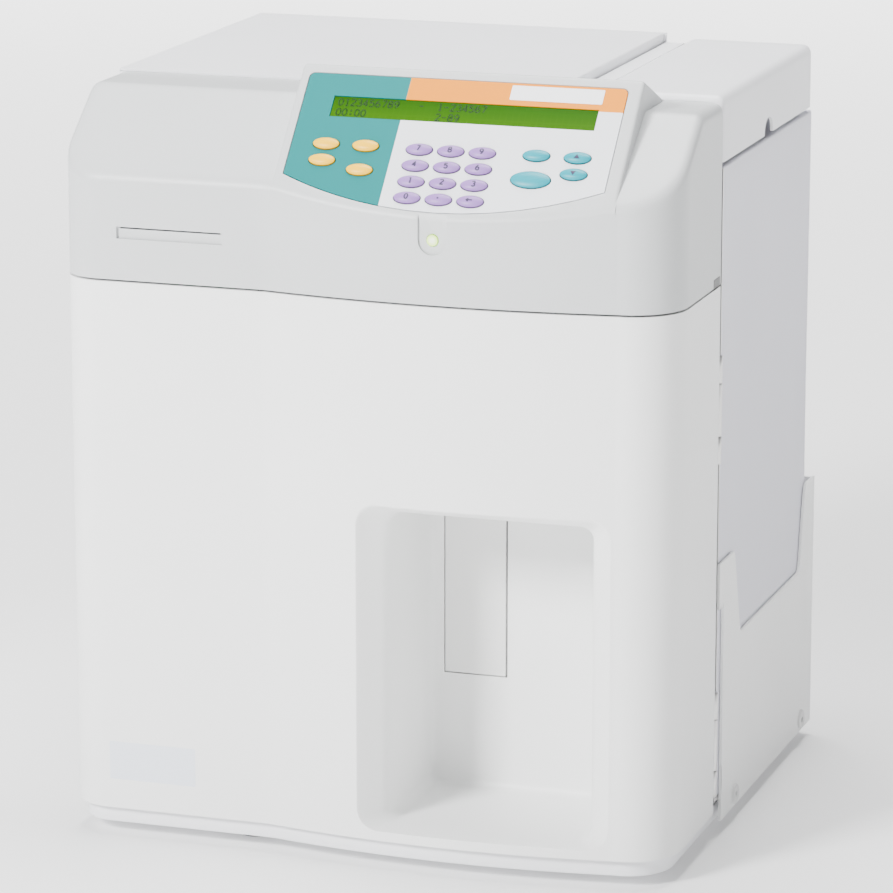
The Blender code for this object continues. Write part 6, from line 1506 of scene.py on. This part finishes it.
    hinge_y: bpy.props.FloatProperty(name="Hinge line depth", description="Hinge line depth of the analyzer", default=0.0984, unit="LENGTH", precision=5)
    knuckle_radius: bpy.props.FloatProperty(name="Knuckle radius", description="Knuckle radius of the analyzer", default=0.0026, unit="LENGTH", precision=5)
    door_leaf_y: bpy.props.FloatProperty(name="Door leaf's front face", description="Door leaf's front face of the analyzer", default=0.099, unit="LENGTH", precision=5)


class AnalyzerColours(bpy.types.PropertyGroup):
    """Base colours of the looks, as linear light."""
    white: bpy.props.FloatVectorProperty(name="Front cover", description="Base colour of: front cover", default=(0.9, 0.905, 0.9), subtype="COLOR", min=0.0, max=1.0)
    plate: bpy.props.FloatVectorProperty(name="Press plate", description="Base colour of: press plate", default=(0.84, 0.84, 0.83), subtype="COLOR", min=0.0, max=1.0)
    plug: bpy.props.FloatVectorProperty(name="Pocket plugs", description="Base colour of: pocket plugs", default=(0.7, 0.7, 0.7), subtype="COLOR", min=0.0, max=1.0)
    label: bpy.props.FloatVectorProperty(name="Bare labels", description="Base colour of: bare labels", default=(0.78, 0.82, 0.9), subtype="COLOR", min=0.0, max=1.0)
    light_grey: bpy.props.FloatVectorProperty(name="Console", description="Base colour of: console", default=(0.55, 0.565, 0.57), subtype="COLOR", min=0.0, max=1.0)
    lavender: bpy.props.FloatVectorProperty(name="Painted sheets", description="Base colour of: painted sheets", default=(0.87, 0.875, 0.9), subtype="COLOR", min=0.0, max=1.0)
    card: bpy.props.FloatVectorProperty(name="Reagent carton", description="Base colour of: reagent carton", default=(0.7, 0.7, 0.77), subtype="COLOR", min=0.0, max=1.0)
    steel: bpy.props.FloatVectorProperty(name="Steel", description="Base colour of: steel", default=(0.62, 0.61, 0.61), subtype="COLOR", min=0.0, max=1.0)
    panel_label: bpy.props.FloatVectorProperty(name="Panel label", description="Base colour of: panel label", default=(0.92, 0.93, 0.95), subtype="COLOR", min=0.0, max=1.0)
    panel_grey: bpy.props.FloatVectorProperty(name="Panel ground", description="Base colour of: panel ground", default=(0.78, 0.8, 0.83), subtype="COLOR", min=0.0, max=1.0)
    teal: bpy.props.FloatVectorProperty(name="Teal field", description="Base colour of: teal field", default=(0.0, 0.17, 0.17), subtype="COLOR", min=0.0, max=1.0)
    orange: bpy.props.FloatVectorProperty(name="Orange band", description="Base colour of: orange band", default=(0.8, 0.25, 0.0), subtype="COLOR", min=0.0, max=1.0)
    purple: bpy.props.FloatVectorProperty(name="Number keys", description="Base colour of: number keys", default=(0.3, 0.16, 0.46), subtype="COLOR", min=0.0, max=1.0)
    yellow: bpy.props.FloatVectorProperty(name="Start keys", description="Base colour of: start keys", default=(1.0, 0.54, 0.0), subtype="COLOR", min=0.0, max=1.0)
    cyan: bpy.props.FloatVectorProperty(name="Command keys", description="Base colour of: command keys", default=(0.0, 0.29, 0.36), subtype="COLOR", min=0.0, max=1.0)
    ink: bpy.props.FloatVectorProperty(name="Key marks", description="Base colour of: key marks", default=(0.03, 0.02, 0.06), subtype="COLOR", min=0.0, max=1.0)
    lcd_low: bpy.props.FloatVectorProperty(name="Display's lower part", description="Base colour of: display's lower part", default=(0.035, 0.12, 0.0), subtype="COLOR", min=0.0, max=1.0)
    lcd_high: bpy.props.FloatVectorProperty(name="Display's upper part", description="Base colour of: display's upper part", default=(0.012, 0.07, 0.0), subtype="COLOR", min=0.0, max=1.0)
    lcd_ink: bpy.props.FloatVectorProperty(name="Display digits", description="Base colour of: display digits", default=(0.004, 0.03, 0.0), subtype="COLOR", min=0.0, max=1.0)
    lamp_middle: bpy.props.FloatVectorProperty(name="Lamp's middle", description="Base colour of: lamp's middle", default=(1.0, 1.0, 0.85), subtype="COLOR", min=0.0, max=1.0)
    lamp_rim: bpy.props.FloatVectorProperty(name="Lamp's rim", description="Base colour of: lamp's rim", default=(0.55, 0.85, 0.12), subtype="COLOR", min=0.0, max=1.0)
    seam: bpy.props.FloatVectorProperty(name="Seam block", description="Base colour of: seam block", default=(0.12, 0.12, 0.12), subtype="COLOR", min=0.0, max=1.0)
    dark: bpy.props.FloatVectorProperty(name="Dark plastic", description="Base colour of: dark plastic", default=(0.035, 0.035, 0.04), subtype="COLOR", min=0.0, max=1.0)
    rubber: bpy.props.FloatVectorProperty(name="Rubber", description="Base colour of: rubber", default=(0.03, 0.03, 0.03), subtype="COLOR", min=0.0, max=1.0)
    board: bpy.props.FloatVectorProperty(name="Circuit board", description="Base colour of: circuit board", default=(0.015, 0.14, 0.05), subtype="COLOR", min=0.0, max=1.0)
    clear: bpy.props.FloatVectorProperty(name="Clear plastic", description="Base colour of: clear plastic", default=(0.7, 0.76, 0.8), subtype="COLOR", min=0.0, max=1.0)
    floor: bpy.props.FloatVectorProperty(name="Floor", description="Base colour of: floor", default=(0.95, 0.95, 0.95), subtype="COLOR", min=0.0, max=1.0)


class ANALYZER_OT_front_cover(bpy.types.Operator):
    """Build the front cover with its recess"""
    bl_idname = "analyzer.front_cover"
    bl_label = "Front cover"

    def execute(self, context):
        make_front_cover()
        return {"FINISHED"}


class ANALYZER_OT_console_cover(bpy.types.Operator):
    """Build the console with its hood and slot"""
    bl_idname = "analyzer.console_cover"
    bl_label = "Console cover"

    def execute(self, context):
        make_console_cover()
        return {"FINISHED"}


class ANALYZER_OT_seam_block(bpy.types.Operator):
    """Build the dark block at the seam's right end"""
    bl_idname = "analyzer.seam_block"
    bl_label = "Seam block"

    def execute(self, context):
        make_seam_block()
        return {"FINISHED"}


class ANALYZER_OT_panel(bpy.types.Operator):
    """Lay the label place on the printed panel"""
    bl_idname = "analyzer.panel"
    bl_label = "Keypad panel"

    def execute(self, context):
        make_panel()
        return {"FINISHED"}


class ANALYZER_OT_keys(bpy.types.Operator):
    """Build the oval keys with their digits and arrows"""
    bl_idname = "analyzer.keys"
    bl_label = "Keys"

    def execute(self, context):
        make_keys()
        return {"FINISHED"}


class ANALYZER_OT_display(bpy.types.Operator):
    """Build the display's glass and digits"""
    bl_idname = "analyzer.display"
    bl_label = "Display"

    def execute(self, context):
        make_display()
        return {"FINISHED"}


class ANALYZER_OT_lamp(bpy.types.Operator):
    """Build the lamp's lens"""
    bl_idname = "analyzer.lamp"
    bl_label = "Status lamp"

    def execute(self, context):
        make_lamp()
        return {"FINISHED"}


class ANALYZER_OT_top_cover(bpy.types.Operator):
    """Build the flat lid"""
    bl_idname = "analyzer.top_cover"
    bl_label = "Top cover"

    def execute(self, context):
        make_top_cover()
        return {"FINISHED"}


class ANALYZER_OT_hinge_strip(bpy.types.Operator):
    """Build the strip that carries the cap"""
    bl_idname = "analyzer.hinge_strip"
    bl_label = "Hinge strip"

    def execute(self, context):
        make_hinge_strip()
        return {"FINISHED"}


class ANALYZER_OT_reagent_cap(bpy.types.Operator):
    """Build the hinged cap"""
    bl_idname = "analyzer.reagent_cap"
    bl_label = "Reagent cap"

    def execute(self, context):
        make_reagent_cap()
        return {"FINISHED"}


class ANALYZER_OT_reagent_pack(bpy.types.Operator):
    """Build the reagent carton"""
    bl_idname = "analyzer.reagent_pack"
    bl_label = "Reagent pack"

    def execute(self, context):
        make_reagent_pack()
        return {"FINISHED"}


class ANALYZER_OT_pack_pocket(bpy.types.Operator):
    """Build the side pocket and its plugs"""
    bl_idname = "analyzer.pack_pocket"
    bl_label = "Pack pocket"

    def execute(self, context):
        make_pack_pocket()
        return {"FINISHED"}


class ANALYZER_OT_hinges(bpy.types.Operator):
    """Build the side carrier's hinges"""
    bl_idname = "analyzer.hinges"
    bl_label = "Side hinges"

    def execute(self, context):
        make_hinges()
        return {"FINISHED"}


class ANALYZER_OT_press_plate(bpy.types.Operator):
    """Build the plate in the recess"""
    bl_idname = "analyzer.press_plate"
    bl_label = "Press plate"

    def execute(self, context):
        make_press_plate()
        return {"FINISHED"}


class ANALYZER_OT_screws(bpy.types.Operator):
    """Build the screws of the rear panel"""
    bl_idname = "analyzer.screws"
    bl_label = "Rear screws"

    def execute(self, context):
        make_screws()
        return {"FINISHED"}


class ANALYZER_OT_base_rim(bpy.types.Operator):
    """Build the base's rim"""
    bl_idname = "analyzer.base_rim"
    bl_label = "Base"

    def execute(self, context):
        make_base_rim()
        return {"FINISHED"}


class ANALYZER_OT_feet(bpy.types.Operator):
    """Build the rubber feet"""
    bl_idname = "analyzer.feet"
    bl_label = "Feet"

    def execute(self, context):
        make_feet()
        return {"FINISHED"}


class ANALYZER_OT_front_label(bpy.types.Operator):
    """Lay the bare label place on the front"""
    bl_idname = "analyzer.front_label"
    bl_label = "Front label"

    def execute(self, context):
        make_front_label()
        return {"FINISHED"}


class ANALYZER_OT_solids(bpy.types.Operator):
    """Give the solids that stay shown their looks"""
    bl_idname = "analyzer.solids"
    bl_label = "Solids"

    def execute(self, context):
        dress_solids()
        return {"FINISHED"}


class ANALYZER_OT_stage(bpy.types.Operator):
    """Build floor, lights and camera"""
    bl_idname = "analyzer.stage"
    bl_label = "Stage"

    def execute(self, context):
        make_stage()
        return {"FINISHED"}


OPERATORS = (ANALYZER_OT_front_cover, ANALYZER_OT_console_cover, ANALYZER_OT_seam_block, ANALYZER_OT_panel,
             ANALYZER_OT_keys, ANALYZER_OT_display, ANALYZER_OT_lamp, ANALYZER_OT_top_cover,
             ANALYZER_OT_hinge_strip, ANALYZER_OT_reagent_cap, ANALYZER_OT_reagent_pack, ANALYZER_OT_pack_pocket,
             ANALYZER_OT_hinges, ANALYZER_OT_press_plate, ANALYZER_OT_screws, ANALYZER_OT_base_rim,
             ANALYZER_OT_feet, ANALYZER_OT_front_label, ANALYZER_OT_solids, ANALYZER_OT_stage)


class ANALYZER_PT_tools(bpy.types.Panel):
    """The analyzer's pieces, one button each"""
    bl_idname = "ANALYZER_PT_tools"
    bl_label = "Analyzer"
    bl_space_type = "VIEW_3D"
    bl_region_type = "UI"
    bl_category = "Analyzer"

    def draw(self, context):
        for operator in OPERATORS:
            self.layout.operator(operator.bl_idname)


CLASSES = (AnalyzerSizes, AnalyzerColours) + OPERATORS + (ANALYZER_PT_tools,)


def register():
    for one in CLASSES:
        bpy.utils.register_class(one)
    bpy.types.Scene.analyzer_sizes = bpy.props.PointerProperty(type=AnalyzerSizes)
    bpy.types.Scene.analyzer_colours = bpy.props.PointerProperty(type=AnalyzerColours)


def unregister():
    del bpy.types.Scene.analyzer_colours
    del bpy.types.Scene.analyzer_sizes
    for one in reversed(CLASSES):
        bpy.utils.unregister_class(one)


def build_analyzer():
    """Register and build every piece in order."""
    register()
    for operator in OPERATORS:
        group, name = operator.bl_idname.split(".")
        if getattr(getattr(bpy.ops, group), name)() != {"FINISHED"}:
            raise RuntimeError(operator.bl_label + " was not built")


if __name__ == "__main__":
    build_analyzer()
